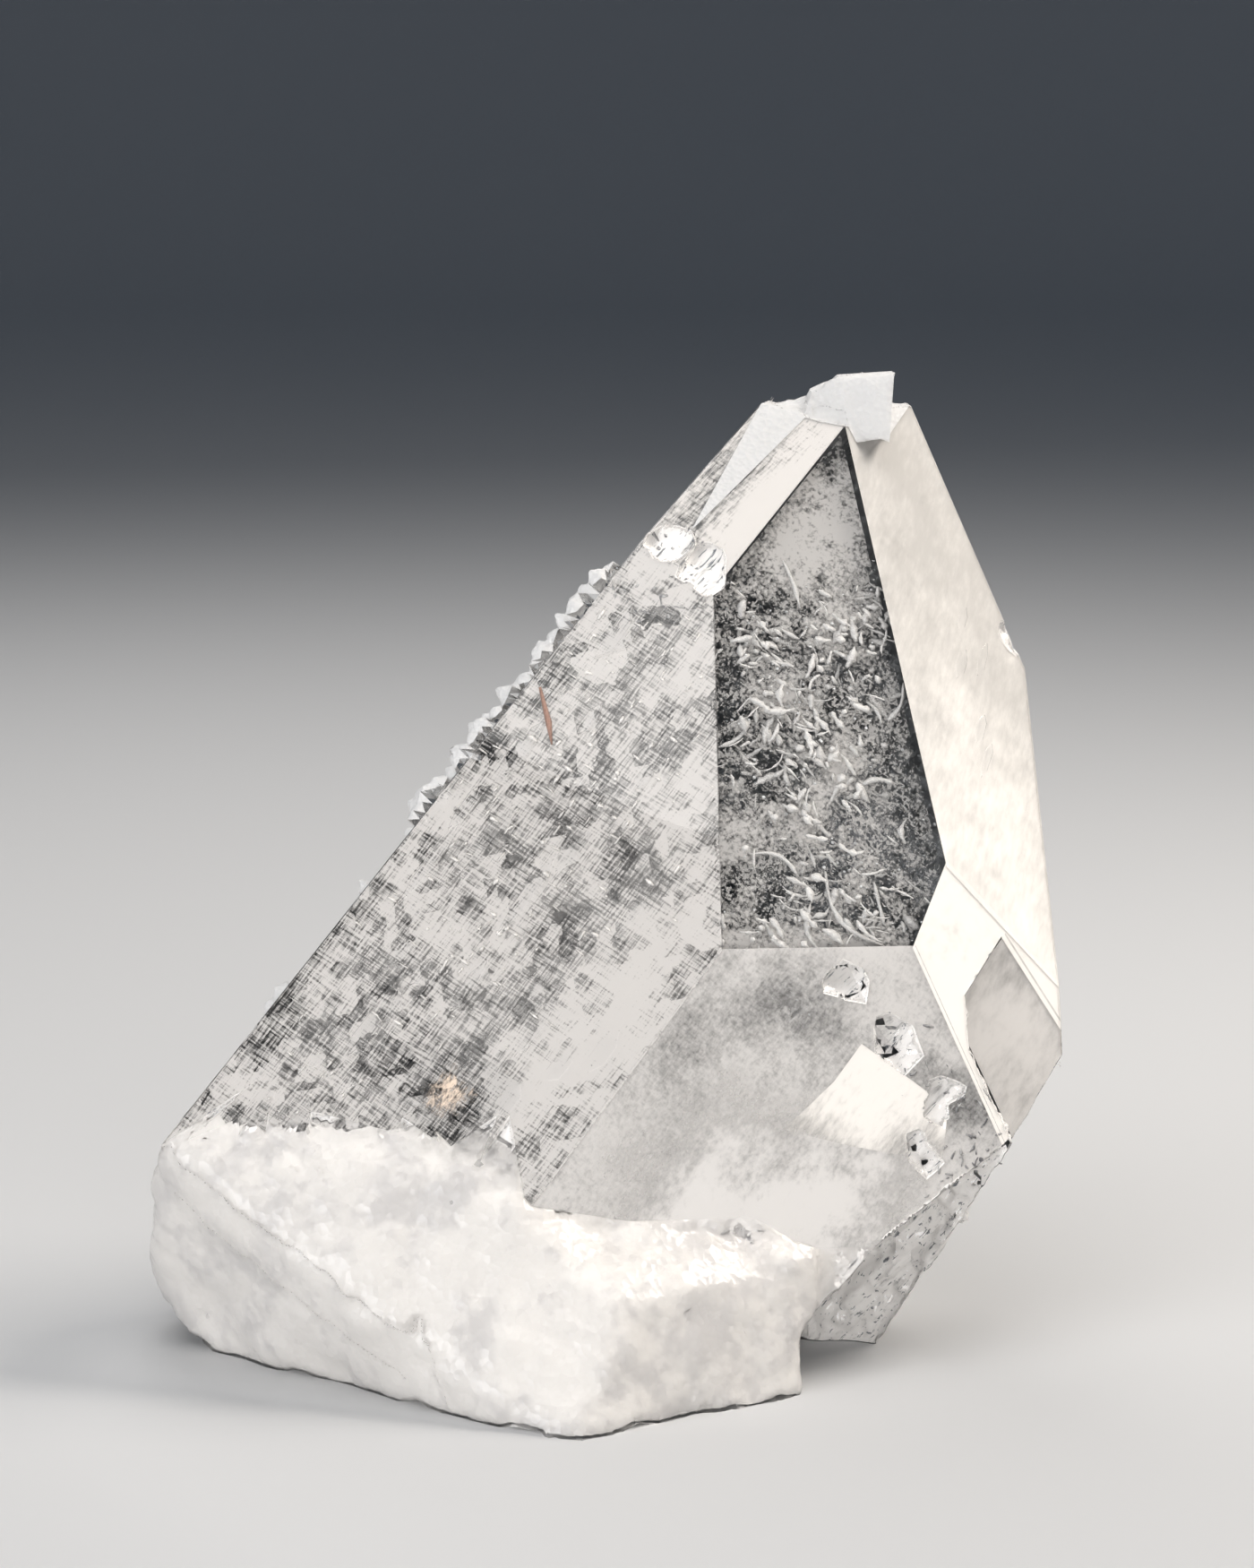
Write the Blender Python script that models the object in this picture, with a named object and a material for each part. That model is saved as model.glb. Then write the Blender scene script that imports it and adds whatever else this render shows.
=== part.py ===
"""Self-healed quartz crystal: one solid that stands on its broken foot.

The crystal is modelled in millimetres and scaled to metres at the end. While it is modelled, +X points
to its right, +Y to its back and +Z up, and z = 0 is the surface that it stands on. It starts as two
blocks cut by flat growth faces: the crystal itself, and the lumpy foot round its front. Growth plates
are fused to the faces, rough breaks are cut out of the foot, the ends and the top, a shell break leaves
the leg at its right, and small second-generation crystals are fused along the edge of its back-left face.
"""

import math
import random
from collections import namedtuple

import bmesh
import bpy
from mathutils import Matrix, Vector, noise

MM = 0.001
NODE_NAME = "quartz_crystal"
QUARTZ_COLOUR = (0.86, 0.87, 0.88, 1.0)

# A flat face. Azimuth 0 faces the front (-Y) and 90 the right (+X). Tilt is how far the face looks up,
# both in degrees. Distance is from the origin to the face's plane.
Face = namedtuple("Face", "azimuth tilt distance")

# A rough break: its middle, the way it faces, how far its middle is hollowed, the height of its relief
# (hollow chips, or round lumps where negative), the size of one chip or lump, and how far it reaches.
Break = namedtuple("Break", "middle azimuth tilt hollow relief grain reach")

FACES = {
    "front_left": Face(-12.9, 31.7, 14.3),
    "window": Face(16.7, 31.6, 16.5),
    "upper_front": Face(-1.7, 43.2, 22.8),
    "right_front": Face(50.0, 28.4, 23.8),
    "right_corner": Face(36.3, 19.1, 17.0),
    "lower_right": Face(15.8, 12.1, 9.5),
    "back_left": Face(-106.1, 34.1, 27.3),
    "right_side": Face(95.0, 0.0, 25.3),
    "right_shoulder": Face(105.0, 18.7, 37.9),
    "top": Face(30.0, 72.0, 46.7),
    "leg_side": Face(82.0, -32.0, 12.0),
    "back": Face(166.0, -12.0, 14.8),
    "back_left_low": Face(-148.0, 6.0, 20.0),
    "back_right": Face(132.0, -22.0, 14.6),
    "left_end": Face(-92.0, 5.0, 27.7),
    "left_under": Face(-96.0, -38.0, 20.9),
    "front_under": Face(-39.4, -15.3, 15.6),
}
# The milky foot stands a little proud of the front faces and bulges forward on the right.
FOOT_FACES = {
    "front": Face(-13.0, 31.5, 14.8),
    "right": Face(33.0, 16.0, 12.5),
    "top_left": Face(-14.0, 60.0, 15.9),
    "top_right": Face(30.0, 55.0, 12.2),
    "under": Face(-39.0, -14.9, 15.9),
    "left_end": Face(-91.0, 4.0, 28.0),
    "right_end": Face(98.0, -4.0, 9.2),
    "back_left": Face(-106.1, 34.1, 26.6),
    "inside": Face(180.0, 0.0, 4.0),
}
# A point well inside the crystal, the size of the block that the faces are cut from, how far the block
# reaches under z = 0, and the distance at which two vertices are one.
MIDDLE = Vector((0.0, 2.0, 20.0))
BLOCK_SIZE = 160.0
BLOCK_FLOOR = 0.8
MERGE = 0.0005

FOOT_BREAKS = {
    "front": Break((-10.0, -11.4, 6.0), -12.5, 31.0, 0.0, -1.1, 4.0, 26.0),
    "right": Break((3.0, -12.1, 3.5), 32.5, 16.0, -0.2, -1.0, 3.4, 16.0),
    "top_left": Break((-14.0, -7.2, 12.2), -14.0, 60.0, 0.0, -1.2, 3.6, 24.0),
    "top_right": Break((3.0, -8.6, 8.2), 30.0, 54.0, 0.0, -1.2, 3.0, 14.0),
}
BREAKS = {
    "top": Break((11.5, 18.5, 52.1), 30.0, 72.0, 0.0, -1.1, 2.6, 11.0),
    "upper_back": Break((5.5, 21.2, 41.0), -160.0, 12.0, 0.3, 0.9, 3.6, 15.0),
    "left_end": Break((-26.9, 1.5, 5.0), -88.0, 3.0, -0.5, 0.6, 4.2, 18.0),
    "left_under": Break((-25.2, 4.0, 0.9), -96.0, -40.0, 0.0, 0.7, 3.5, 14.0),
    "front_under": Break((-18.0, -6.8, 5.0), -39.4, -14.0, -0.5, -1.0, 4.2, 22.0),
    "leg_side": Break((19.9, 1.6, 8.1), 83.0, -32.5, -0.2, 0.6, 3.6, 16.0),
    "back_foot": Break((-2.0, 15.0, 3.5), 171.0, -26.0, 0.3, 1.4, 6.0, 26.0),
    "back_right": Break((17.6, 8.6, 9.0), 133.0, -27.0, 0.3, 1.0, 5.0, 20.0),
}
BREAK_CELL = 1.5
# The squared cell distance that lies level with a break, and the height and pitch of its fine grit.
BREAK_LEVEL = 0.3
GRIT = 0.12
GRIT_PITCH = 1.8
CUTTER_DEPTH = 30.0

# The underside: its lumps stand on the table and the creases between them are hollow.
BASE_REACH = 32.0
BASE_RELIEF = 2.2
BASE_LUMP = 5.0
BASE_CONTACT = 0.46
BASE_CELL = 1.9
BASE_SEED = 71

# The plate that stands on the top, and a small grain on the side of the leg.
TOP_PLATE = (
    Face(-90.0, 86.0, 53.15),
    Face(-90.0, 62.0, 41.9),
    Face(90.0, -5.0, 11.1),
    Face(-90.0, 20.0, 7.9),
    Face(-4.0, 24.0, 4.55),
    Face(176.0, 8.0, 28.9),
    Face(0.0, -90.0, -50.5),
)
GRAIN = (19.3, 1.2, 7.4, 0.5)

# The re-grown facet let into the right corner, and the ledge round its left side.
CORNER_FACET = (
    Face(207.0, -14.3, -12.15),
    Face(-90.0, 39.3, -1.9),
    Face(-90.0, -4.0, -20.6),
    Face(-90.0, -25.2, -25.05),
)

# The shell break that leaves the leg: its ribbed face, the roof and walls that it stops at, and the ribs,
# which fan out from one point of the face, rise over a length of it and bend a little.
LEG_BREAK = Break((15.0, 0.2, 6.0), -10.2, -0.9, 0.0, 0.7, 3.4, 14.0)
LEG_LIMITS = (
    Face(-88.0, 2.0, -9.2),
    Face(-95.0, 45.5, -4.9),
    Face(-92.0, 55.0, -2.2),
)
RIB_ORIGIN = (6.6, 7.2)
RIB_COUNT = 30.0
RIB_HEIGHT = 0.24
RIB_RISE = 7.0
RIB_BEND = 2.0
RIB_BEND_PITCH = 3.3
LEG_CELL = 0.85
LEG_SEED = 13

# Shallow shell chips, as the face they are in, the X and Z of their middle, their radius and depth.
Chip = namedtuple("Chip", "face x z radius depth")
CHIP_WOBBLE = 0.35
CHIP_WOBBLE_PITCH = 1.1
CHIPS = (
    Chip("lower_right", 15.6, 18.6, 3.4, 0.55),
    Chip("lower_right", 18.3, 15.2, 2.6, 0.6),
    Chip("lower_right", 16.9, 12.3, 2.2, 0.45),
    Chip("lower_right", 12.2, 21.3, 2.8, 0.35),
    Chip("lower_right", 6.4, 8.7, 1.5, 0.4),
    Chip("upper_front", 2.2, 45.0, 2.2, 0.6),
    Chip("upper_front", 4.6, 43.6, 2.6, 0.8),
    Chip("right_front", 22.9, 38.7, 1.3, 0.5),
)

# The crystal's own axis, which its growth plates follow.
CRYSTAL_AXIS = Vector((0.59, 0.33, 0.737)).normalized()
Plates = namedtuple("Plates", "face count length width height margin seed")
PLATES = (
    Plates("front_left", 42, (2.0, 6.5), (0.7, 1.6), (0.10, 0.26), 0.8, 11),
    Plates("back_left", 16, (2.0, 7.0), (0.8, 2.2), (0.14, 0.34), 1.2, 23),
    Plates("back", 20, (2.5, 8.0), (1.0, 2.8), (0.18, 0.5), 1.5, 37),
    Plates("back_left_low", 17, (2.5, 8.0), (1.0, 2.6), (0.18, 0.5), 1.5, 41),
    Plates("right_front", 5, (2.0, 4.0), (0.6, 1.2), (0.06, 0.12), 1.5, 53),
)
PLATE_SIDES = 6
PLATE_SKEW = 0.16
PLATE_ROOT = 0.6
PLATE_TAPER = 0.82
PLATE_FLOOR = 10.0
PLATE_TIP = 0.55
PLATE_SCATTER = (32.0, 24.0)

# Small crystals that grew on the back-left face, as their height range, how many there are, and how far
# from the edge with the front-left face they start and spread.
Druse = namedtuple("Druse", "low high count start spread seed")
DRUSE = (
    Druse(30.2, 31.8, 6, 0.45, 0.9, 5),
    Druse(33.0, 36.5, 11, 0.45, 0.8, 7),
    Druse(36.5, 41.0, 14, 0.4, 0.9, 8),
    Druse(41.0, 45.5, 8, 0.4, 0.6, 9),
    Druse(16.0, 44.0, 13, 2.6, 7.0, 10),
)
DRUSE_RADIUS = (0.45, 0.85)
DRUSE_LENGTH = (0.9, 1.7)
DRUSE_ROOT = 0.8
DRUSE_SHAFT = 0.55
DRUSE_LEAN = ((-0.5, 0.5), (-0.6, 0.3), (-0.5, 0.5))


def face_normal(azimuth, tilt):
    """Outward direction of a face from its azimuth and tilt in degrees."""
    turn, lift = math.radians(azimuth), math.radians(tilt)
    return Vector((math.sin(turn) * math.cos(lift), -math.cos(turn) * math.cos(lift), math.sin(lift)))


def face_frame(azimuth, tilt):
    """Level, uphill and outward directions of a face."""
    outward = face_normal(azimuth, tilt)
    level = Vector((0.0, 0.0, 1.0)).cross(outward).normalized()
    return level, outward.cross(level), outward


def frame_matrix(origin, level, uphill, outward):
    """Matrix that takes local X, Y, Z to the given directions at the origin."""
    matrix = Matrix((level, uphill, outward)).transposed().to_4x4()
    matrix.translation = origin
    return matrix


def cut_flat(bm, normal, distance):
    """Cuts away all that lies outside a plane and closes the cut with one face."""
    cut = bmesh.ops.bisect_plane(
        bm, geom=bm.verts[:] + bm.edges[:] + bm.faces[:], dist=1e-5,
        plane_co=normal * distance, plane_no=normal, clear_outer=True)
    edges = [item for item in cut["geom_cut"] if isinstance(item, bmesh.types.BMEdge)]
    if edges:
        bmesh.ops.holes_fill(bm, edges=edges, sides=0)


def faceted_block(faces):
    """The block between flat faces, cut level a little under the surface that the crystal stands on."""
    bm = bmesh.new()
    bmesh.ops.create_cube(bm, size=BLOCK_SIZE)
    for face in faces:
        cut_flat(bm, face_normal(face.azimuth, face.tilt), face.distance)
    cut_flat(bm, Vector((0.0, 0.0, -1.0)), BLOCK_FLOOR)
    bmesh.ops.recalc_face_normals(bm, faces=bm.faces)
    return bm


def make_object(name, bm):
    """Turns a bmesh into an object of the scene and frees it."""
    mesh = bpy.data.meshes.new(name)
    bm.to_mesh(mesh)
    bm.free()
    made = bpy.data.objects.new(name, mesh)
    bpy.context.collection.objects.link(made)
    return made


def combine(body, bm, operation):
    """Joins a shape to the body or cuts it out, and keeps the result as the body's mesh."""
    tool = make_object("tool", bm)
    tool.hide_render = True
    tool.display_type = "WIRE"
    modifier = body.modifiers.new("combine", "BOOLEAN")
    modifier.operation = operation
    modifier.solver = "EXACT"
    modifier.object = tool
    result = bpy.data.meshes.new_from_object(body.evaluated_get(bpy.context.evaluated_depsgraph_get()))
    body.modifiers.clear()
    before = body.data
    body.data = result
    bpy.data.meshes.remove(before)
    tool_mesh = tool.data
    bpy.data.objects.remove(tool)
    bpy.data.meshes.remove(tool_mesh)


def join_object(body, other):
    """Joins another object to the body and removes it."""
    bm = bmesh.new()
    bm.from_mesh(other.data)
    other_mesh = other.data
    bpy.data.objects.remove(other)
    bpy.data.meshes.remove(other_mesh)
    combine(body, bm, "UNION")


def relief_cutter(matrix, size, cell, surface):
    """A closed cutter whose inner side follows surface(u, v) and whose outer side is flat."""
    bm = bmesh.new()
    steps = [max(2, round(length / cell)) for length in size]
    bmesh.ops.create_grid(bm, x_segments=steps[0], y_segments=steps[1], size=0.5)
    inner = bm.verts[:]
    for vert in inner:
        u, v = vert.co.x * size[0], vert.co.y * size[1]
        vert.co = Vector((u, v, surface(u, v)))
    raised = bmesh.ops.extrude_face_region(bm, geom=bm.faces[:])["geom"]
    for item in raised:
        if isinstance(item, bmesh.types.BMVert):
            item.co.z = CUTTER_DEPTH
    bmesh.ops.recalc_face_normals(bm, faces=bm.faces)
    bm.transform(matrix)
    return bm


def cell_distance(u, v, grain, seed):
    """Distance to the nearest of many scattered centres, in grains and at most 1."""
    return min(1.0, noise.voronoi(Vector((u / grain, v / grain, seed * 3.7)))[0][0])


def grit(u, v, seed):
    """Fine unevenness of broken quartz."""
    return GRIT * noise.fractal(Vector((u / GRIT_PITCH, v / GRIT_PITCH, seed * 5.3)), 1.0, 2.0, 3)


def break_cutter(rough, seed):
    """Cutter that leaves one rough break."""
    def surface(u, v):
        bowl = 1.0 - (u * u + v * v) / rough.reach ** 2
        chip = rough.relief * (cell_distance(u, v, rough.grain, seed) ** 2 - BREAK_LEVEL)
        return -rough.hollow * bowl + chip + grit(u, v, seed)

    matrix = frame_matrix(Vector(rough.middle), *face_frame(rough.azimuth, rough.tilt))
    size = (2.0 * rough.reach, 2.0 * rough.reach)
    return relief_cutter(matrix, size, BREAK_CELL, surface)


def base_cutter():
    """Cutter under the foot, whose hollows lie between the lumps that carry the crystal."""
    def surface(u, v):
        crease = cell_distance(u, v, BASE_LUMP, BASE_SEED) - BASE_CONTACT
        return -BASE_RELIEF * crease - grit(u, v, BASE_SEED)

    matrix = frame_matrix(Vector(), Vector((1.0, 0.0, 0.0)), Vector((0.0, -1.0, 0.0)),
                          Vector((0.0, 0.0, -1.0)))
    return relief_cutter(matrix, (2.0 * BASE_REACH, 2.0 * BASE_REACH), BASE_CELL, surface)


def leg_cutter():
    """Cutter of the shell break in front of the leg, with ribs that fan out from its upper corner."""
    def surface(u, v):
        run = u - RIB_ORIGIN[0], v - RIB_ORIGIN[1]
        bend = RIB_BEND * noise.noise(Vector((u / RIB_BEND_PITCH, v / RIB_BEND_PITCH, LEG_SEED)))
        ribs = math.sin(RIB_COUNT * math.atan2(run[1], run[0]) + bend)
        chip = LEG_BREAK.relief * (cell_distance(u, v, LEG_BREAK.grain, LEG_SEED) ** 2 - BREAK_LEVEL)
        return RIB_HEIGHT * min(1.0, math.hypot(*run) / RIB_RISE) * ribs + chip

    matrix = frame_matrix(Vector(LEG_BREAK.middle), *face_frame(LEG_BREAK.azimuth, LEG_BREAK.tilt))
    size = (2.0 * LEG_BREAK.reach, 2.0 * LEG_BREAK.reach)
    bm = relief_cutter(matrix, size, LEG_CELL, surface)
    for limit in LEG_LIMITS:
        cut_flat(bm, face_normal(limit.azimuth, limit.tilt), limit.distance)
    return bm


def chip_cutter(chip):
    """Ball that takes one shallow chip out of a face."""
    face = FACES[chip.face]
    outward = face_normal(face.azimuth, face.tilt)
    depth = (face.distance - outward.x * chip.x - outward.z * chip.z) / outward.y
    middle = Vector((chip.x, depth, chip.z)) + outward * (chip.radius - chip.depth)
    bm = bmesh.new()
    bmesh.ops.create_icosphere(bm, subdivisions=2, radius=chip.radius)
    for vert in bm.verts:
        vert.co *= 1.0 + CHIP_WOBBLE * noise.noise(vert.co / CHIP_WOBBLE_PITCH + middle)
    bm.transform(Matrix.Translation(middle))
    return bm


def grain_ball():
    """The small grain that sits on the side of the leg."""
    bm = bmesh.new()
    matrix = Matrix.Translation(Vector(GRAIN[:3]))
    bmesh.ops.create_icosphere(bm, subdivisions=1, radius=GRAIN[3], matrix=matrix)
    return bm


def inside_faces(point, margin, skipped):
    """Whether a point lies at least a margin inside every flat face but one."""
    return all(
        face_normal(face.azimuth, face.tilt).dot(point) < face.distance - margin
        for name, face in FACES.items() if name != skipped)


def growth_plate(matrix, length, width, height, draw):
    """One growth plate: a low hillock with pointed ends and sloping sides, rooted below the face."""
    bm = bmesh.new()
    outline = bmesh.ops.create_circle(bm, cap_ends=True, segments=PLATE_SIDES, radius=0.5)["verts"]
    for vert in outline:
        skew = 1.0 + draw.uniform(-PLATE_SKEW, PLATE_SKEW)
        vert.co = Vector((vert.co.y * length * skew, -vert.co.x * width * skew, -PLATE_ROOT))
    raised = bmesh.ops.extrude_face_region(bm, geom=bm.faces[:])["geom"]
    for item in raised:
        if isinstance(item, bmesh.types.BMVert):
            item.co = Vector((item.co.x * PLATE_TAPER, item.co.y * PLATE_TAPER, height))
    bmesh.ops.recalc_face_normals(bm, faces=bm.faces)
    bm.transform(matrix)
    return bm


def add_growth_plates(crystal, plates):
    """Fuses scattered plates to one face, all along the crystal's own axis."""
    face = FACES[plates.face]
    outward = face_normal(face.azimuth, face.tilt)
    along = (CRYSTAL_AXIS - outward * CRYSTAL_AXIS.dot(outward)).normalized()
    across = outward.cross(along)
    draw = random.Random(plates.seed)
    centre = MIDDLE + outward * (face.distance - MIDDLE.dot(outward))
    placed = 0
    while placed < plates.count:
        run, drift = (draw.uniform(-reach, reach) for reach in PLATE_SCATTER)
        point = centre + along * run + across * drift
        length, width = draw.uniform(*plates.length), draw.uniform(*plates.width)
        height = draw.uniform(*plates.height)
        tips = [point + along * length * side for side in (-PLATE_TIP, PLATE_TIP)]
        if point.z > PLATE_FLOOR and all(inside_faces(tip, plates.margin, plates.face) for tip in tips):
            matrix = frame_matrix(point, along, across, outward)
            combine(crystal, growth_plate(matrix, length, width, height, draw), "UNION")
            placed += 1


def edge_point(first, second, height):
    """Point at a height on the line where two faces meet."""
    a, b = face_normal(first.azimuth, first.tilt), face_normal(second.azimuth, second.tilt)
    rows = Matrix((a, b, Vector((0.0, 0.0, 1.0))))
    return rows.inverted() @ Vector((first.distance, second.distance, height))


def point_crystal(matrix, radius, length):
    """A small six-sided quartz point, rooted below the face that it grew on."""
    bm = bmesh.new()
    shaft = DRUSE_ROOT + length * DRUSE_SHAFT
    lift = Matrix.Translation((0.0, 0.0, 0.5 * shaft - DRUSE_ROOT))
    bmesh.ops.create_cone(
        bm, cap_ends=True, segments=6, radius1=radius, radius2=radius, depth=shaft, matrix=lift)
    top = max(bm.faces, key=lambda face: face.calc_center_median().z)
    tip = bmesh.ops.poke(bm, faces=[top])["verts"][0]
    tip.co.z += length * (1.0 - DRUSE_SHAFT)
    bm.transform(matrix)
    return bm


def add_druse(crystal, druse):
    """Fuses one group of small points near the edge between the front-left and back-left faces."""
    front, back = FACES["front_left"], FACES["back_left"]
    outward = face_normal(back.azimuth, back.tilt)
    inward = -face_normal(front.azimuth, front.tilt)
    inward = (inward - outward * inward.dot(outward)).normalized()
    draw = random.Random(druse.seed)
    for _ in range(druse.count):
        place = edge_point(front, back, draw.uniform(druse.low, druse.high))
        place += inward * (druse.start + druse.spread * draw.random())
        lean = Vector([draw.uniform(*limits) for limits in DRUSE_LEAN])
        axis = (outward + lean).normalized()
        side = axis.orthogonal().normalized()
        matrix = frame_matrix(place, side, axis.cross(side), axis)
        matrix = matrix @ Matrix.Rotation(draw.uniform(0.0, math.pi), 4, "Z")
        radius, length = draw.uniform(*DRUSE_RADIUS), draw.uniform(*DRUSE_LENGTH)
        combine(crystal, point_crystal(matrix, radius, length), "UNION")


def quartz_material():
    """Clear to milky quartz."""
    material = bpy.data.materials.new("quartz")
    material.use_nodes = True
    shader = material.node_tree.nodes["Principled BSDF"]
    shader.inputs["Base Color"].default_value = QUARTZ_COLOUR
    shader.inputs["Roughness"].default_value = 0.12
    shader.inputs["Metallic"].default_value = 0.0
    shader.inputs["IOR"].default_value = 1.544
    return material


def table_cutter():
    """Block under the table's surface, which leaves flat spots for the crystal to stand on."""
    bm = bmesh.new()
    scale = Matrix.Diagonal((BLOCK_SIZE, BLOCK_SIZE, CUTTER_DEPTH, 1.0))
    lower = Matrix.Translation((0.0, 0.0, -0.5 * CUTTER_DEPTH))
    bmesh.ops.create_cube(bm, size=1.0, matrix=lower @ scale)
    return bm


def finish(body):
    """Centres the crystal over the origin and scales it to metres."""
    bm = bmesh.new()
    bm.from_mesh(body.data)
    bmesh.ops.remove_doubles(bm, verts=bm.verts, dist=MERGE)
    bmesh.ops.triangulate(bm, faces=bm.faces)
    for axis in (0, 1):
        middle = 0.5 * (min(v.co[axis] for v in bm.verts) + max(v.co[axis] for v in bm.verts))
        for vert in bm.verts:
            vert.co[axis] -= middle
    bm.transform(Matrix.Scale(MM, 4))
    bm.to_mesh(body.data)
    bm.free()


def main():
    for item in list(bpy.data.objects):
        bpy.data.objects.remove(item)
    foot = make_object("foot", faceted_block(FOOT_FACES.values()))
    for seed, rough in enumerate(FOOT_BREAKS.values()):
        combine(foot, break_cutter(rough, seed + 20), "DIFFERENCE")
    crystal = make_object(NODE_NAME, faceted_block(FACES.values()))
    combine(crystal, faceted_block(CORNER_FACET), "DIFFERENCE")
    for plates in PLATES:
        add_growth_plates(crystal, plates)
    for chip in CHIPS:
        combine(crystal, chip_cutter(chip), "DIFFERENCE")
    join_object(crystal, foot)
    for seed, rough in enumerate(BREAKS.values()):
        combine(crystal, break_cutter(rough, seed), "DIFFERENCE")
    combine(crystal, leg_cutter(), "DIFFERENCE")
    combine(crystal, faceted_block(TOP_PLATE), "UNION")
    combine(crystal, grain_ball(), "UNION")
    for druse in DRUSE:
        add_druse(crystal, druse)
    combine(crystal, base_cutter(), "DIFFERENCE")
    combine(crystal, table_cutter(), "DIFFERENCE")
    finish(crystal)
    crystal.data.materials.clear()
    crystal.data.materials.append(quartz_material())


main()
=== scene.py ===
"""A self-healed quartz crystal: clear, veiled and milky quartz, with the threads and needle inside it."""

import math
import random

import bmesh
import bpy
from bpy.props import FloatProperty, FloatVectorProperty, IntProperty, PointerProperty
from mathutils import Matrix, Vector, noise
from mathutils.bvhtree import BVHTree


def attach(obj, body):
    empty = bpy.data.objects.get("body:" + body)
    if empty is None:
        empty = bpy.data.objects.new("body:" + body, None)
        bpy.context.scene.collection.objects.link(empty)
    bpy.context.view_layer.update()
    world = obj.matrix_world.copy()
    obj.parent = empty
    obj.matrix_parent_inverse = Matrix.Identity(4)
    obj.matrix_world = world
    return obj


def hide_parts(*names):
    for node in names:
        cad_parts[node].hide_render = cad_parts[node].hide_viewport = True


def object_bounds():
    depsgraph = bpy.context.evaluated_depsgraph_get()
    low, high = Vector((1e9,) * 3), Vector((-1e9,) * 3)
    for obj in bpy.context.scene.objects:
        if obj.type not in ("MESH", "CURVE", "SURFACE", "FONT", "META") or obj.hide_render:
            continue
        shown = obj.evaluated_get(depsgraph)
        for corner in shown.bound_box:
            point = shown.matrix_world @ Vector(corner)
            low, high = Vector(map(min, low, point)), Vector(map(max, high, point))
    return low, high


bl_info = {
    "name": "Self-Healed Quartz Crystal",
    "version": (1, 0, 0),
    "blender": (4, 5, 0),
    "location": "View3D > Sidebar > Crystal",
    "description": "Builds a self-healed quartz crystal with its veils, and its studio",
    "category": "Add Mesh",
}

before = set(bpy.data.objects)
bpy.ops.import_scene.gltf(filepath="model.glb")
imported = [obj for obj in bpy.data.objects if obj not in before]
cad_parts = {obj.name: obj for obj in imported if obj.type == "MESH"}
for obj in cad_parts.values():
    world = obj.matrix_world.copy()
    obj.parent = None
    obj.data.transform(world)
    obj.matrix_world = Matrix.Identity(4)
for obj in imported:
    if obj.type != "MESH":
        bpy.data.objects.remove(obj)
CAD_LOW, CAD_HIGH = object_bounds()

MM = 0.001
BODY = "root"
NODE = "quartz_crystal"
QUARTZ_IOR = 1.544

# Where the growth faces' own origin lies in the row frame, in millimetres.
CENTRING = Vector((1.2357, -2.9424, 0.0))

# How far a point may lie under a growth face and still be on it, in millimetres.
FACE_SLACK = 0.03

# The flat growth faces: azimuth (0 is the front and 90 the right) and tilt in degrees, distance from
# their origin and the height of the growth plates on them in millimetres.
FACES = {
    "front_left": (-12.9, 31.7, 14.3, 0.28),
    "window": (16.7, 31.6, 16.5, 0.03),
    "upper_front": (-1.7, 43.2, 22.8, 0.03),
    "right_front": (50.0, 28.4, 23.8, 0.14),
    "right_corner": (36.3, 19.1, 17.0, 0.03),
    "lower_right": (15.8, 12.1, 9.5, 0.03),
    "corner_facet": (27.0, 14.3, 12.15, 0.03),
    "back_left": (-106.1, 34.1, 27.3, 0.36),
    "right_side": (95.0, 0.0, 25.3, 0.03),
    "right_shoulder": (105.0, 18.7, 37.9, 0.03),
    "back": (166.0, -12.0, 14.8, 0.52),
    "back_left_low": (-148.0, 6.0, 20.0, 0.52),
}


def face_normal(azimuth, tilt):
    """Outward direction of a face from its azimuth and tilt in degrees."""
    turn, lift = math.radians(azimuth), math.radians(tilt)
    return Vector((math.sin(turn) * math.cos(lift), -math.cos(turn) * math.cos(lift), math.sin(lift)))


PLANES = {
    name: (face_normal(azimuth, tilt), distance, plates)
    for name, (azimuth, tilt, distance, plates) in FACES.items()
}

# The direction of the streaks on the growth faces, and of the ribs on the broken leg with their size.
CRYSTAL_AXIS = Vector((0.59, 0.33, 0.737)).normalized()
RIB_DIRECTION = Vector((0.72, 0.0, 0.69))
RIB_SIZE = Vector((7.0, 0.7, 0.7))


def face_axes(name, direction=CRYSTAL_AXIS):
    """Rotation that turns a growth face's streak, cross and outward directions to X, Y and Z."""
    outward = PLANES[name][0]
    along = (direction - outward * direction.dot(outward)).normalized()
    return Matrix((along, outward.cross(along), outward))


def rib_axes():
    """Rotation that turns the direction of the broken leg's ribs to X and its outward direction to Z."""
    return face_axes("lower_right", RIB_DIRECTION)


# The block that the re-grown corner facet was let into, as planes round what is missing.
CORNER_BLOCK = [(face_normal(-90.0, 39.3), -1.9), (face_normal(-90.0, -4.0), -20.6),
                (face_normal(-90.0, -25.2), -25.05)]

# The block that broke away in front of the leg, in the same way.
LEG_BLOCK = [(face_normal(169.8, 0.9), 3.25), (face_normal(-88.0, 2.0), -9.2),
             (face_normal(-95.0, 45.5), -4.9), (face_normal(-92.0, 55.0), -2.2)]

# The planes round the milky foot, a little outside its own surface.
FOOT_PLANES = [
    (face_normal(azimuth, tilt), distance + 1.2)
    for azimuth, tilt, distance in (
        (-13.0, 31.5, 14.8), (33.0, 16.0, 12.5), (-14.0, 60.0, 15.3), (30.0, 55.0, 11.6),
        (-39.0, -14.9, 15.9), (-91.0, 4.0, 28.0), (98.0, -4.0, 9.2), (180.0, 0.0, 4.0))
]


def to_crystal(point):
    """A point of the row frame, in metres, as millimetres from the growth faces' own origin."""
    return point / MM - CENTRING


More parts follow.
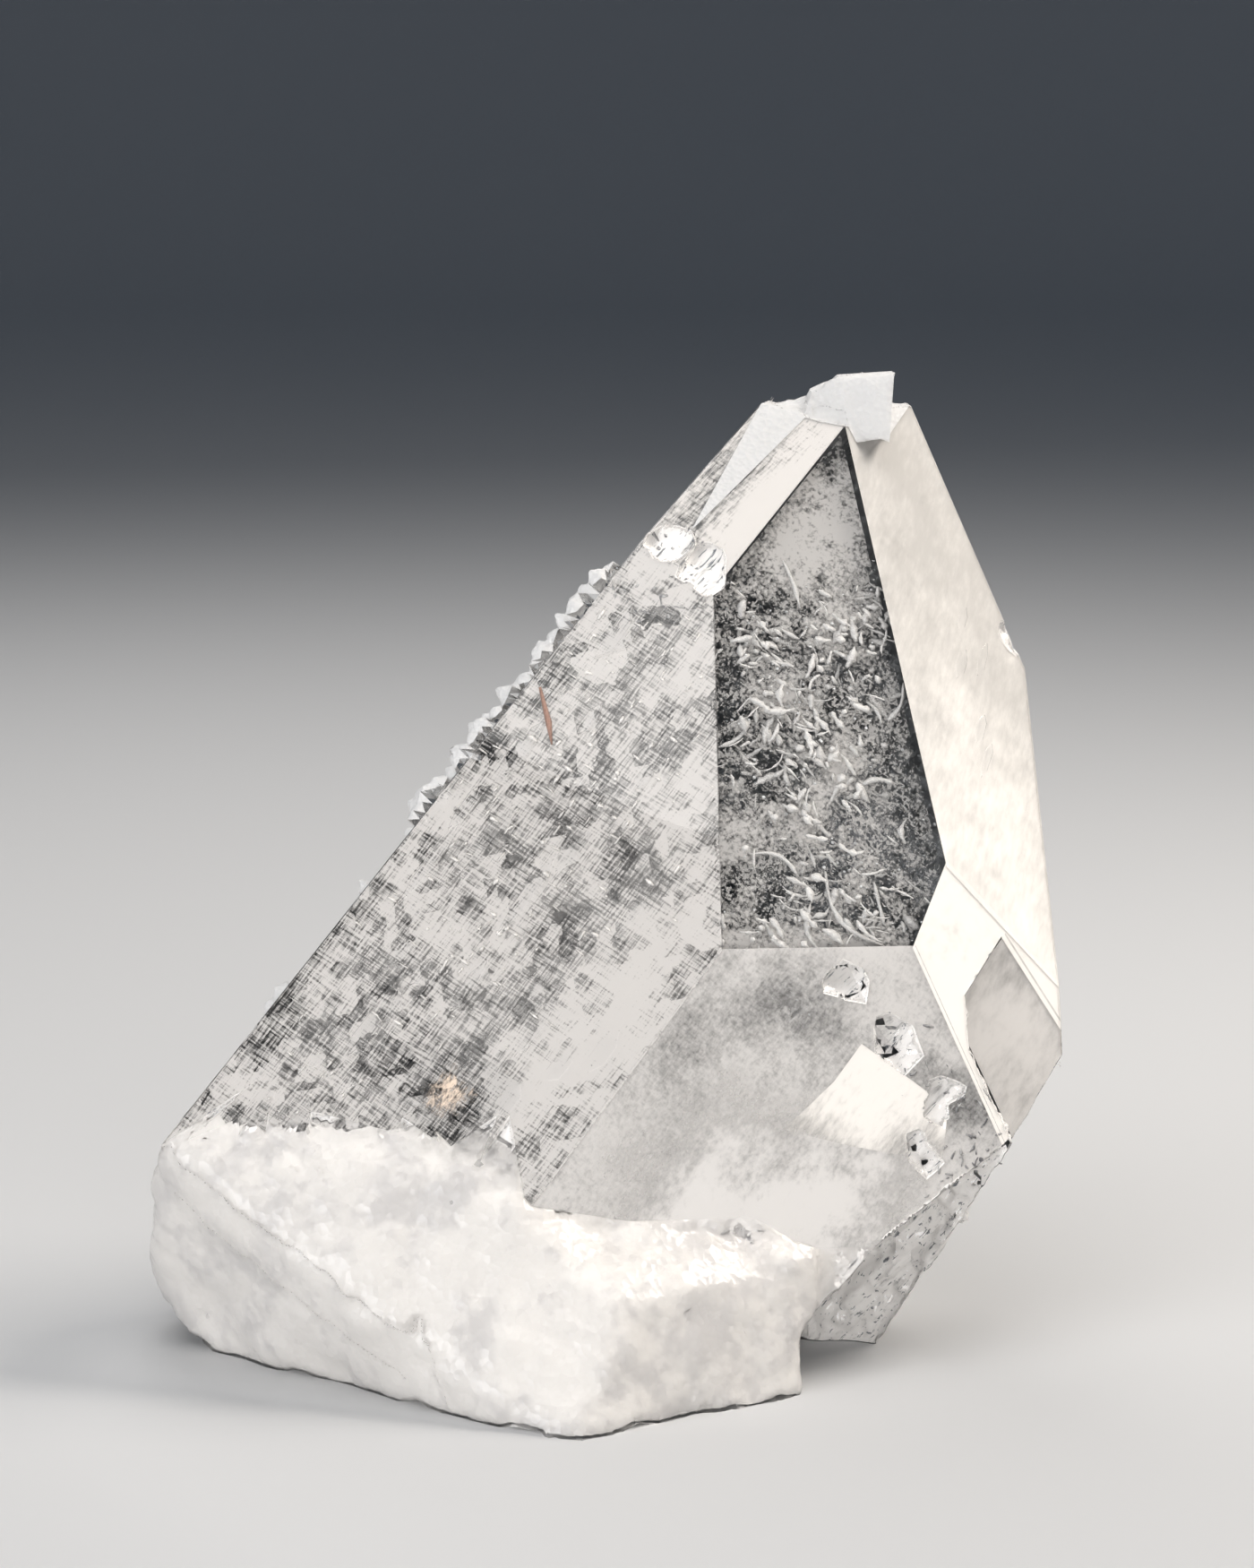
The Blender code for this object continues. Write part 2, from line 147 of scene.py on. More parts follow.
def to_row(point):
    """A point in millimetres from the growth faces' own origin, as metres in the row frame."""
    return (point + CENTRING) * MM


# ---------------------------------------------------------------- settings

MILK = (0.77, 0.745, 0.715)


class QuartzLook(bpy.types.PropertyGroup):
    """What a user would change about the crystal"""

    darkening: FloatProperty(
        name="Darkening", description="How fast the clear quartz darkens with depth, per metre",
        default=100.0, min=0.0)
    milk_colour: FloatVectorProperty(
        name="Milk Colour", description="Colour of the milky foot", subtype="COLOR", size=3,
        min=0.0, max=1.0, default=MILK)
    needle_colour: FloatVectorProperty(
        name="Needle Colour", description="Colour of the needle in the left face", subtype="COLOR", size=3,
        min=0.0, max=1.0, default=(0.3, 0.14, 0.09))
    relief: FloatProperty(
        name="Relief", description="Height of the lumps on the broken surfaces", unit="LENGTH",
        default=0.45 * MM, min=0.0)
    thread_width: FloatProperty(
        name="Thread Width", description="Half the width of the widest threads", unit="LENGTH",
        default=0.26 * MM, min=0.01 * MM)
    threads: IntProperty(
        name="Threads", description="Number of white threads under the window", default=560, min=0)
    flecks: IntProperty(
        name="Flecks", description="Number of small white flecks in the crystal", default=1400, min=0)


class QuartzStage(bpy.types.PropertyGroup):
    """What a user would change about the studio"""

    floor_colour: FloatVectorProperty(
        name="Floor Colour", description="Colour of the floor", subtype="COLOR", size=3,
        min=0.0, max=1.0, default=(0.8, 0.8, 0.8))
    light: FloatProperty(
        name="Light", description="Strength of all the lamps against their usual strength",
        subtype="FACTOR", default=1.0, min=0.0, soft_max=2.0)
    lens: FloatProperty(
        name="Lens", description="Focal length of the camera", unit="CAMERA", default=100.0, min=10.0)


# ---------------------------------------------------------------- shader helpers

# The size of the grit on the dull breaks in millimetres, and their roughness.
GRIT_SIZE = 0.5
BREAK_ROUGHNESS = 0.35

# How much darker a veil is where it is thin. The cell size of the grain in what is inside the crystal,
# and how deep light soaks into the milky quartz, in millimetres.
THIN_VEIL = 0.88
SPECK_GRAIN = 0.12
GLOW_DEPTH = 1.5

# The veil group's inputs with their usual values.
VEIL_INPUTS = {"Length": 2.2, "Width": 0.8, "Cover": 0.5, "Soft": 0.2, "Blocks": 0.0, "Block Size": 1.0,
               "Cloud Size": 6.0, "Clouds": 1.5, "Grain": 0.35, "Weave": 0.0, "Bend": 0.2}


def new_material(name):
    """A new material with its node tree, its shader and its output."""
    material = bpy.data.materials.new(name)
    material.use_nodes = True
    tree = material.node_tree
    return material, tree, tree.nodes["Principled BSDF"], tree.nodes["Material Output"]


def feed(tree, node, inputs):
    """Gives a node's inputs their values, or links them to the sockets that feed them."""
    for key, value in inputs.items():
        if isinstance(value, bpy.types.NodeSocket):
            tree.links.new(value, node.inputs[key])
        else:
            node.inputs[key].default_value = value


def add_node(tree, kind, inputs, **settings):
    """Adds a node with its settings and its inputs."""
    node = tree.nodes.new(kind)
    for key, value in settings.items():
        setattr(node, key, value)
    feed(tree, node, inputs)
    return node


def lamp_pass(tree, shader, output):
    """Lets the lamps' rays through glass, so that they reach what is inside it."""
    path = add_node(tree, "ShaderNodeLightPath", {})
    clear = add_node(tree, "ShaderNodeBsdfTransparent", {})
    mix = add_node(tree, "ShaderNodeMixShader", {
        0: path.outputs["Is Shadow Ray"], 1: shader.outputs[0], 2: clear.outputs[0]})
    feed(tree, output, {"Surface": mix.outputs[0]})


def clear_quartz(darkening):
    """Glassy quartz that darkens what is seen deep through it. Its breaks are duller than its faces."""
    material, tree, shader, output = new_material("clear_quartz")
    frost = add_node(tree, "ShaderNodeAttribute", {}, attribute_name=FROST).outputs["Fac"]
    grit = add_node(tree, "ShaderNodeTexVoronoi", {
        "Scale": 1.0 / GRIT_SIZE, "Vector": crystal_vector(tree, Matrix.Identity(3))})
    height = add_node(tree, "ShaderNodeMath", {0: grit.outputs["Distance"], 1: frost}, operation="MULTIPLY")
    bump = add_node(tree, "ShaderNodeBump", {
        "Distance": 0.15 * GRIT_SIZE * MM, "Height": height.outputs[0]})
    feed(tree, shader, {
        "Base Color": (1.0, 1.0, 1.0, 1.0), "IOR": QUARTZ_IOR, "Transmission Weight": 1.0,
        "Roughness": spread(tree, frost, 0.0, BREAK_ROUGHNESS), "Normal": bump.outputs[0]})
    depth = add_node(tree, "ShaderNodeVolumeAbsorption", {
        "Color": (0.0, 0.03, 0.06, 1.0), "Density": darkening})
    feed(tree, output, {"Volume": depth.outputs[0]})
    lamp_pass(tree, shader, output)
    return material


def veil_group(name, dimensions):
    """Builds the node group that spreads soft blocks and clouds of tiny bubbles over a healed crack."""
    group = bpy.data.node_groups.new(name, "ShaderNodeTree")
    group.interface.new_socket("Vector", in_out="INPUT", socket_type="NodeSocketVector")
    for socket, value in VEIL_INPUTS.items():
        made = group.interface.new_socket(socket, in_out="INPUT", socket_type="NodeSocketFloat")
        made.default_value = value
    group.interface.new_socket("Mask", in_out="OUTPUT", socket_type="NodeSocketFloat")
    start = add_node(group, "NodeGroupInput", {}).outputs

    def combine(kind, first, second):
        """A sum, difference or product of two numbers or sockets."""
        return add_node(group, "ShaderNodeMath", {0: first, 1: second}, operation=kind).outputs[0]

    def combine_vectors(kind, first, second):
        """A sum or quotient of two vectors."""
        return add_node(group, "ShaderNodeVectorMath", {0: first, 1: second}, operation=kind).outputs[0]

    def divide(along, across):
        """The point in steps of two of the sizes."""
        size = add_node(group, "ShaderNodeCombineXYZ", {0: start[along], 1: start[across], 2: start[across]})
        return combine_vectors("DIVIDE", start["Vector"], size.outputs[0])

    def noise_of(vector, scale, detail, roughness):
        """Noise that varies about zero."""
        texture = add_node(group, "ShaderNodeTexNoise", {
            "Vector": vector, "Scale": scale, "Detail": detail, "Roughness": roughness},
            noise_dimensions=dimensions)
        return combine("SUBTRACT", texture.outputs[0], 0.5)

    cloud = noise_of(divide("Cloud Size", "Cloud Size"), 1.0, 2.0, 0.6)

    def bent(vector):
        """A vector bent a little by the clouds."""
        return combine_vectors("ADD", vector, combine("MULTIPLY", cloud, start["Bend"]))

    cells = add_node(group, "ShaderNodeTexVoronoi", {
        "Scale": 1.0, "Vector": bent(divide("Block Size", "Block Size"))},
        voronoi_dimensions=dimensions, distance="CHEBYCHEV")
    block = add_node(group, "ShaderNodeSeparateColor", {0: cells.outputs["Color"]}).outputs[0]
    warp = noise_of(bent(divide("Length", "Width")), 2.2, 3.0, 0.65)
    weft = noise_of(bent(divide("Width", "Length")), 2.2, 2.0, 0.65)
    streak = combine("ADD", warp, combine("MULTIPLY", weft, start["Weave"]))
    grain = combine("MULTIPLY", streak, start["Grain"])
    blocks = combine("MULTIPLY", combine("SUBTRACT", block, 0.5), start["Blocks"])
    clouds = combine("MULTIPLY", cloud, start["Clouds"])
    level = combine("ADD", combine("ADD", grain, blocks), combine("ADD", clouds, start["Cover"]))
    ramp = add_node(group, "ShaderNodeMapRange", {
        "Value": level, "From Min": combine("SUBTRACT", 0.5, start["Soft"]),
        "From Max": combine("ADD", 0.5, start["Soft"])}, interpolation_type="SMOOTHSTEP")
    add_node(group, "NodeGroupOutput", {"Mask": ramp.outputs[0]})
    return group


def spot_group():
    """Builds the node group of one soft spot: its gain at its centre, fading to nothing at its size."""
    group = bpy.data.node_groups.new("soft_spot", "ShaderNodeTree")
    for name, kind in (("Vector", "Vector"), ("Centre", "Vector"), ("Size", "Vector"), ("Gain", "Float")):
        group.interface.new_socket(name, in_out="INPUT", socket_type="NodeSocket" + kind)
    group.interface.new_socket("Value", in_out="OUTPUT", socket_type="NodeSocketFloat")
    start = add_node(group, "NodeGroupInput", {}).outputs
    away = add_node(group, "ShaderNodeVectorMath", {
        0: start["Vector"], 1: start["Centre"]}, operation="SUBTRACT")
    share = add_node(group, "ShaderNodeVectorMath", {
        0: away.outputs[0], 1: start["Size"]}, operation="DIVIDE")
    length = add_node(group, "ShaderNodeVectorMath", {0: share.outputs[0]}, operation="LENGTH")
    fade = add_node(group, "ShaderNodeMapRange", {
        "Value": length.outputs["Value"], "To Min": start["Gain"], "To Max": 0.0},
        interpolation_type="SMOOTHSTEP")
    add_node(group, "NodeGroupOutput", {"Value": fade.outputs[0]})
    return group


def crystal_vector(tree, axes):
    """The point being shaded, in millimetres from the growth faces' own origin and turned to the axes."""
    place = add_node(tree, "ShaderNodeTexCoord", {})
    turn = add_node(tree, "ShaderNodeMapping", {
        "Location": -(axes @ CENTRING) * MM, "Rotation": axes.to_euler(),
        "Vector": place.outputs["Object"]})
    scale = add_node(tree, "ShaderNodeVectorMath", {
        0: turn.outputs[0], "Scale": 1.0 / MM}, operation="SCALE")
    return scale.outputs[0]


def veil_mask(tree, vector, spots, dimensions, values):
    """How thick the tiny bubbles are at a point, from 0 to 1.

    Each spot is its place and size along, across and out of the face, and how much it adds to the cover.
    """
    cover = values["Cover"]
    for centre, size, gain in spots:
        spot = add_node(tree, "ShaderNodeGroup", {
            "Vector": vector, "Centre": (*centre, 0.0)[:3], "Size": (*size, 200.0)[:3], "Gain": gain},
            node_tree=bpy.data.node_groups.get("soft_spot") or spot_group())
        cover = add_node(tree, "ShaderNodeMath", {0: cover, 1: spot.outputs[0]}).outputs[0]
    kind = "healed_veil" if dimensions == "2D" else "milk_cloud"
    inputs = {key.replace("_", " "): value for key, value in values.items()}
    veil = add_node(tree, "ShaderNodeGroup", inputs | {"Vector": vector, "Cover": cover},
                    node_tree=bpy.data.node_groups.get(kind) or veil_group(kind, dimensions))
    return veil.outputs["Mask"]


def spread(tree, mask, low, high):
    """Turns a mask from 0 to 1 into a value from low to high."""
    return add_node(tree, "ShaderNodeMapRange", {"Value": mask, "To Min": low, "To Max": high}).outputs[0]


def blend(tree, mask, low, high):
    """Turns a mask from 0 to 1 into a colour from low to high."""
    mix = add_node(tree, "ShaderNodeMix", {0: mask, 6: (*low, 1.0), 7: (*high, 1.0)}, data_type="RGBA")
    return mix.outputs[2]


def veil_material(name, axes, colour, spots=(), low=0.0, high=1.0, dimensions="2D", tone=None, **values):
    """A thin milky veil, solid and palest where its mask is high and clear where it is low.

    A tone of its own is a second colour with the spots and values of a mask that shares them out.
    """
    material, tree, shader, _ = new_material(name)
    vector = crystal_vector(tree, axes)
    mask = veil_mask(tree, vector, spots, dimensions, values)
    second, share = tuple(THIN_VEIL * part for part in colour), mask
    if tone:
        second, tone_spots, tone_values = tone
        share = veil_mask(tree, vector, tone_spots, dimensions, tone_values)
    feed(tree, shader, {
        "Base Color": blend(tree, share, second, colour), "Roughness": spread(tree, share, 0.8, 0.6),
        "Specular IOR Level": 0.0, "Alpha": spread(tree, mask, low, high)})
    return material


def milky_quartz(name, low, high, grain, subsurface=0.0, **values):
    """Cloudy quartz, from its clearer colour to its whitest, with a sugary broken surface."""
    material, tree, shader, _ = new_material(name)
    vector = crystal_vector(tree, Matrix.Identity(3))
    mask = veil_mask(tree, vector, (), "3D", values)
    cells = add_node(tree, "ShaderNodeTexVoronoi", {"Scale": 1.0 / grain, "Vector": vector})
    bump = add_node(tree, "ShaderNodeBump", {
        "Distance": 0.25 * grain * MM, "Height": cells.outputs["Distance"]})
    feed(tree, shader, {
        "Base Color": blend(tree, mask, low, high), "Roughness": spread(tree, mask, 0.3, 0.5),
        "IOR": QUARTZ_IOR, "Subsurface Weight": subsurface, "Subsurface Radius": (1.0, 1.0, 1.0),
        "Subsurface Scale": GLOW_DEPTH * MM, "Normal": bump.outputs[0]})
    return material


def speck_quartz(name, low, high):
    """The uneven, slightly sugary quartz of the threads and flecks inside the crystal, also the grain of the
    painted shade in its chips.
    """
    return milky_quartz(name, low, high, SPECK_GRAIN, Length=0.5, Width=0.5, Cover=0.55, Clouds=1.0,
                        Grain=1.6, Soft=0.4, Cloud_Size=1.5)


# ---------------------------------------------------------------- the crystal

SHELL_SLOTS = ("clear", "top", "druse")
FROST = "frost"

# Heights in millimetres: the lowest small crystals at the left, the top's lowest break and its plate.
DRUSE_FROM = 14.0
TOP_BREAK_FROM = 46.5
TOP_FROM = 50.0

# How dull the top, the foot and the other breaks are.
FROST_FROM = 47.0
TOP_FROST, FOOT_FROST, BREAK_FROST = 1.0, 0.8, 0.3

# The broken leg's front: right of this, in front of this and below this, in millimetres.
LEG_LEFT, LEG_BACK, LEG_TOP = 9.0, 4.0, 14.0

# The longest edges of the small crystals, the breaks and the leg, in millimetres.
DRUSE_EDGE, BREAK_EDGE, LEG_EDGE = 0.4, 0.6, 0.35

# How often the corners of the small crystals and of the foot are smoothed, how far the foot is raised
# as a share of the relief, and the height in millimetres up to which it isn't smoothed.
DRUSE_PASSES, FOOT_PASSES = 3, 16
FOOT_RISE = 0.3
FOOT_CONTACT = 0.5
SHARP_EDGE = math.radians(40)

# Sizes in the breaks' relief in millimetres: its lumps, the grain on them and the dents between the
# leg's ribs. The foot has this share of it, and what touches the floor below this height stays flat.
LUMP_SIZE, GRAIN_SIZE, DENT_SIZE = 1.8, 0.9, 0.5
FOOT_SHARE = 0.75
CONTACT = 0.05

# In millimetres: half the width that a veil is cut from, its longest edges and those along a cut, how
# high above the floor the veils and the milk end, and how deep the bright cracks and the painted glint lie.
SHEET_REACH = 60.0
SHEET_CELL, TRIM_EDGE = 1.2, 0.24
SHEET_FLOOR, SKIN_FLOOR = 0.3, 0.04
PATCH_DEPTH = 0.04

# Within this many millimetres of the surface the nearest face alone tells inside from outside. Farther
# off, the rays have a vote too, each starting a step in metres past what it last hit.
NEAR = 0.4
PROBE_STEP = 1e-6
PROBE_RAYS = (Vector((0.11, 0.23, 0.97)).normalized(), Vector((-0.9, -0.31, 0.17)).normalized())


def region(centre):
    """Name of the growth face that a point of the crystal's surface is on, or None on a break."""
    best, gap = None, math.inf
    for name, (normal, distance, plates) in PLANES.items():
        over = normal.dot(centre) - distance
        if -FACE_SLACK < over < plates and abs(over) < gap:
            best, gap = name, abs(over)
    return best


def slot_of(centre):
    """The shell's material slot at a point of its surface."""
    normal, distance, plates = PLANES["back_left"]
    if normal.dot(centre) > distance + plates and centre.z > DRUSE_FROM:
        return "druse"
    if centre.z > TOP_FROM or centre.z > TOP_BREAK_FROM and region(centre) is None:
        return "top"
    return "clear"


def in_foot(centre):
    """Whether a point of the crystal's surface is on its milky foot."""
    return all(normal.dot(centre) < distance for normal, distance in FOOT_PLANES)


def on_break(centre):
    """Whether a point of the crystal's surface is on a break outside the foot and the druse."""
    return region(centre) is None and not in_foot(centre) and slot_of(centre) != "druse"


def frost_at(centre):
    """How dull the crystal's broken surface is at a point: the top is the dullest."""
    if centre.z > FROST_FROM:
        return TOP_FROST
    return FOOT_FROST if in_foot(centre) else BREAK_FROST


def refine(bm, chosen, limit):
    """Splits the long edges of the chosen faces until they are short, and keeps triangles."""
    for _ in range(6):
        edges = {edge for face in bm.faces if chosen(face) for edge in face.edges
                 if edge.calc_length() > limit}
        if not edges:
            return
        bmesh.ops.subdivide_edges(bm, edges=list(edges), cuts=1)
        bmesh.ops.triangulate(bm, faces=[face for face in bm.faces if len(face.verts) > 3])


def smooth(bm, verts, passes):
    """Smooths the given corners of a mesh in passes."""
    for _ in range(passes):
        bmesh.ops.smooth_vert(bm, verts=verts, factor=0.5, use_axis_x=True, use_axis_y=True,
                              use_axis_z=True)


def in_leg(centre):
    """Whether a point is on the front of the broken leg at the crystal's lower right."""
    return centre.x > LEG_LEFT and centre.y < LEG_BACK and centre.z < LEG_TOP


def rough_height(point, relief):
    """Height of the broken surfaces' fine relief at a point, in the relief's own unit."""
    rib = rib_axes() @ point
    ribs = noise.noise(Vector([rib[i] / RIB_SIZE[i] for i in range(3)]))
    if in_leg(point) and not in_foot(point):
        return relief * 0.9 * (abs(ribs) + 0.3 * noise.noise(point / DENT_SIZE) - 0.3)
    lump = noise.voronoi(point / LUMP_SIZE)[0][0]
    lumps = 0.35 - lump + 0.3 * noise.fractal(point / GRAIN_SIZE, 1.0, 2.0, 4)
    return relief * lumps * (FOOT_SHARE if in_foot(point) else 1.0)


def make_shell(relief):
    """The crystal's surface: flat growth faces as they are, and breaks with their fine relief."""
    bm = bmesh.new()
    bm.from_mesh(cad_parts[NODE].data)
    bmesh.ops.remove_doubles(bm, verts=bm.verts, dist=1e-7)
    frost = bm.faces.layers.float.new(FROST)
    for face in bm.faces:
        centre = to_crystal(face.calc_center_median())
        face.material_index = SHELL_SLOTS.index(slot_of(centre))
        flat = face.material_index == SHELL_SLOTS.index("druse") or region(centre) is not None
        face[frost] = frost_at(centre) if not flat or in_foot(centre) else 0.0
    druse = SHELL_SLOTS.index("druse")
    refine(bm, lambda face: face.material_index == druse, DRUSE_EDGE * MM)
    crystals = [vert for vert in bm.verts if all(face.material_index == druse for face in vert.link_faces)]
    smooth(bm, crystals, DRUSE_PASSES)
    refine(bm, lambda face: face[frost] > 0.0, BREAK_EDGE * MM)
    refine(bm, lambda face: face[frost] > 0.0 and in_leg(to_crystal(face.calc_center_median())),
           LEG_EDGE * MM)
    worn = [vert for vert in bm.verts if vert.co.z > FOOT_CONTACT * MM and in_foot(to_crystal(vert.co))
            and all(face[frost] > 0.0 for face in vert.link_faces)]
    smooth(bm, worn, FOOT_PASSES)
    bm.normal_update()
    moves = {}
    for vert in bm.verts:
        point = to_crystal(vert.co)
        if point.z > CONTACT and all(face[frost] > 0.0 for face in vert.link_faces):
            rise = FOOT_RISE * relief if in_foot(point) else 0.0
            moves[vert] = vert.normal * (rough_height(point, relief) + rise)
    for vert, move in moves.items():
        place = vert.co + move
        vert.co = [min(max(place[i], CAD_LOW[i]), CAD_HIGH[i]) for i in range(3)]
    for face in bm.faces:
        face.smooth = face[frost] > 0.0 or face.material_index == druse
    for edge in bm.edges:
        if len(edge.link_faces) == 2 and edge.calc_face_angle(0.0) > SHARP_EDGE:
            edge.smooth = False
    return bm


def add_piece(name, bm, materials):
    """Makes a mesh an object of the crystal's body, with its materials."""
    mesh = bpy.data.meshes.new(name)
    bm.to_mesh(mesh)
    bm.free()
    for material in materials:
        mesh.materials.append(material)
    piece = bpy.data.objects.new(name, mesh)
    bpy.context.collection.objects.link(piece)
    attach(piece, BODY)
    return piece


def under_surface(shell, chosen, depth, passes):
    """A copy of the chosen faces of the crystal's surface, smoothed in passes and moved inwards."""
    bm = bmesh.new()
    bm.from_mesh(shell.data)
    gone = [face for face in bm.faces if not chosen(to_crystal(face.calc_center_median()))]
    bmesh.ops.delete(bm, geom=gone, context="FACES")
    smooth(bm, [vert for vert in bm.verts if not vert.is_boundary], passes)
    bm.normal_update()
    for vert in bm.verts:
        vert.co -= vert.normal * depth * MM
        vert.co.z = max(vert.co.z, SKIN_FLOOR * MM)
    for face in bm.faces:
        face.smooth = True
    return bm


# The sizes of the sugary grain on the top and the small crystals in millimetres, and their veil's values.
TOP_GRAIN, DRUSE_GRAIN = 0.35, 0.25
SUGAR = dict(Cover=0.8, Clouds=1.0, Grain=1.2, Soft=0.5)

# The foot's milk: its veil's values, its greyer second colour, and the spots and values of the mask
# that shares the two colours out. The grey is partly grey veins in the milk and partly painted shade,
# grey clouds that stand in for the soft shade among its lumps.
FOOT_MILK = dict(
    Length=1.6, Width=1.6, Cover=1.2, Grain=0.8, Clouds=0.8, Soft=0.5, Cloud_Size=4.0, high=0.98,
    dimensions="3D", spots=(((6.0, 12.0, 15.0), (7.5, 16.0, 8.0), -1.2),))
FOOT_VEINS_AND_SHADE = (0.64, 0.62, 0.605)
# The spot at the lower left is painted light: it makes the foot paler on its side that faces down.
FOOT_SPOTS = (((5.0, -12.0, 6.0), (8.0, 8.0, 8.0), -0.3), ((-4.0, -12.0, 6.0), (8.0, 8.0, 8.0), 0.25),
              ((-14.0, -8.0, 5.0), (6.0, 8.0, 8.0), 0.4))
FOOT_TONE = dict(Length=1.2, Width=1.2, Cover=0.62, Clouds=2.2, Grain=1.8, Soft=0.3, Blocks=0.2,
                 Block_Size=0.5, Cloud_Size=3.5, Bend=1.0)

# The haze under the other breaks, with dark lines of painted shade between the leg's ribs.
BREAK_MILK = dict(
    Length=6.0, Width=0.6, Cover=0.9, Grain=1.5, Clouds=0.8, Soft=0.4, Cloud_Size=4.0, high=0.98,
    dimensions="3D", tone=((0.2, 0.21, 0.225), (), dict(
        Length=9.0, Width=0.45, Cover=1.45, Clouds=0.8, Grain=8.0, Soft=0.15, Cloud_Size=5.0,
        Bend=0.6)))

# How deep the milk lies under the foot and the other breaks in millimetres, and how smooth it is.
FOOT_SKIN, FOOT_SKIN_PASSES = 0.08, 3
BREAK_SKIN, BREAK_SKIN_PASSES = 0.06, 0


class QUARTZ_OT_crystal(bpy.types.Operator):
    """Makes the crystal's faces, breaks and foot"""

    bl_idname = "quartz.crystal"
    bl_label = "Crystal"

    def execute(self, context):
        look = context.scene.quartz_look
        materials = [
            clear_quartz(look.darkening),
            # The top's milky quartz is painted paler than the foot's milk: painted light that stands in for
            # the sunlight shining through the top from behind.
            milky_quartz("top_quartz", (0.9, 0.88, 0.855), (0.99, 0.965, 0.935), TOP_GRAIN,
                         subsurface=0.5, Length=1.2, Width=1.2, **SUGAR),
            milky_quartz("druse_quartz", (0.92, 0.91, 0.9), (1.0, 0.985, 0.965), DRUSE_GRAIN,
                         Length=0.8, Width=0.8, **SUGAR),
        ]
        shell = add_piece("crystal", make_shell(look.relief), materials)
        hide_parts(NODE)
        left_axes = face_axes("front_left")
        pale_parts = [(left_axes @ Vector(centre), size, gain) for centre, size, gain in FOOT_SPOTS]
        milk = veil_material("foot_milk", left_axes, look.milk_colour,
                             tone=(FOOT_VEINS_AND_SHADE, pale_parts, FOOT_TONE), **FOOT_MILK)
        add_piece("foot_milk", under_surface(shell, in_foot, FOOT_SKIN, FOOT_SKIN_PASSES), [milk])
        haze = veil_material("break_milk", rib_axes(), (0.97, 0.945, 0.92), **BREAK_MILK)
        add_piece("break_milk", under_surface(shell, on_break, BREAK_SKIN, BREAK_SKIN_PASSES), [haze])
        return {"FINISHED"}


# ---------------------------------------------------------------- what is inside the crystal

def face_point(name, along, across, depth):
    """A point under a growth face, from its place along and across the face's streaks."""
    axes = face_axes(name)
    return axes.inverted() @ Vector((along, across, PLANES[name][1] - depth))


def crystal_surface():
    """The crystal's surface as a tree that finds its nearest point."""
    bm = bmesh.new()
    bm.from_mesh(bpy.data.objects["crystal"].data)
    tree = BVHTree.FromBMesh(bm)
    bm.free()
    return tree


def within(surface, place, margin=0.0):
    """Whether a place in the row frame is a margin in millimetres inside the crystal's surface."""
    nearest, normal, _, distance = surface.find_nearest(place)
    votes = normal.dot(place - nearest) < 0.0
    if distance < NEAR * MM:
        return votes and distance > margin * MM
    for ray in PROBE_RAYS:
        start, crossings = place, 0
        while start is not None:
            start = surface.ray_cast(start + ray * PROBE_STEP, ray)[0]
            crossings += start is not None
        votes += crossings % 2
    return votes > 1 and distance > margin * MM


def trim(bm, surface):
    """Cuts away what sticks out of the crystal's hollows and breaks."""
    def crosses(face):
        places = [vert.co for vert in face.verts] + [face.calc_center_median()]
        return len({within(surface, place) for place in places}) == 2

    bmesh.ops.triangulate(bm, faces=bm.faces)
    refine(bm, lambda face: True, SHEET_CELL * MM)
    refine(bm, crosses, TRIM_EDGE * MM)
    outside = [face for face in bm.faces if not within(surface, face.calc_center_median())]
    bmesh.ops.delete(bm, geom=outside, context="FACES")


def cut(bm, plane, clear):
    """Cuts a mesh along a plane and, if asked, clears away what is outside it."""
    normal, distance = plane
    bmesh.ops.bisect_plane(bm, geom=bm.verts[:] + bm.edges[:] + bm.faces[:], dist=1e-5,
                           plane_co=normal * distance, plane_no=normal, clear_outer=clear)


def inner_sheet(name, depth, margin):
    """A flat sheet under a growth face, cut off a margin inside all the other faces and the blocks."""
    normal, distance, _ = PLANES[name]
    bm = bmesh.new()
    bmesh.ops.create_grid(bm, x_segments=1, y_segments=1, size=SHEET_REACH)
    bm.transform(face_axes(name).to_4x4().inverted())
    bmesh.ops.translate(bm, verts=bm.verts, vec=normal * (distance - depth))
    cuts = [(n, d - margin) for other, (n, d, _) in PLANES.items() if other not in (name, "corner_facet")]
    cuts.append((Vector((0.0, 0.0, -1.0)), -SHEET_FLOOR))
    corner = [(n, d + margin) for n, d in CORNER_BLOCK]
    blocks = [LEG_BLOCK]
    if name == "corner_facet":
        cuts += [(n, d - margin) for n, d in CORNER_BLOCK]
    else:
        facet, facet_distance, _ = PLANES["corner_facet"]
        blocks.append(corner + [(-facet, margin - facet_distance)])
    for plane in cuts:
        cut(bm, plane, True)
    for block in blocks:
        for plane in block:
            cut(bm, plane, False)
        gone = [face for face in bm.faces
                if all(n.dot(face.calc_center_median()) < d for n, d in block)]
        bmesh.ops.delete(bm, geom=gone, context="FACES")
    for vert in bm.verts:
        vert.co = to_row(vert.co)
    return bm


# The veils' colours, and the values that the streaks at the back have in common. The last two
# colours are painted sunlight: warm copies of the veils' white for the sunlit right-hand faces.
WHITE = (0.84, 0.81, 0.78)
PALE = (0.68, 0.655, 0.63)
SUNLIT_CREAM = (0.72, 0.69, 0.65)
SUNLIT_BRIGHT = (0.98, 0.95, 0.91)
BACK = dict(Length=3.5, Width=0.4, Weave=0.6, Blocks=0.3, Clouds=0.8, Soft=0.6)

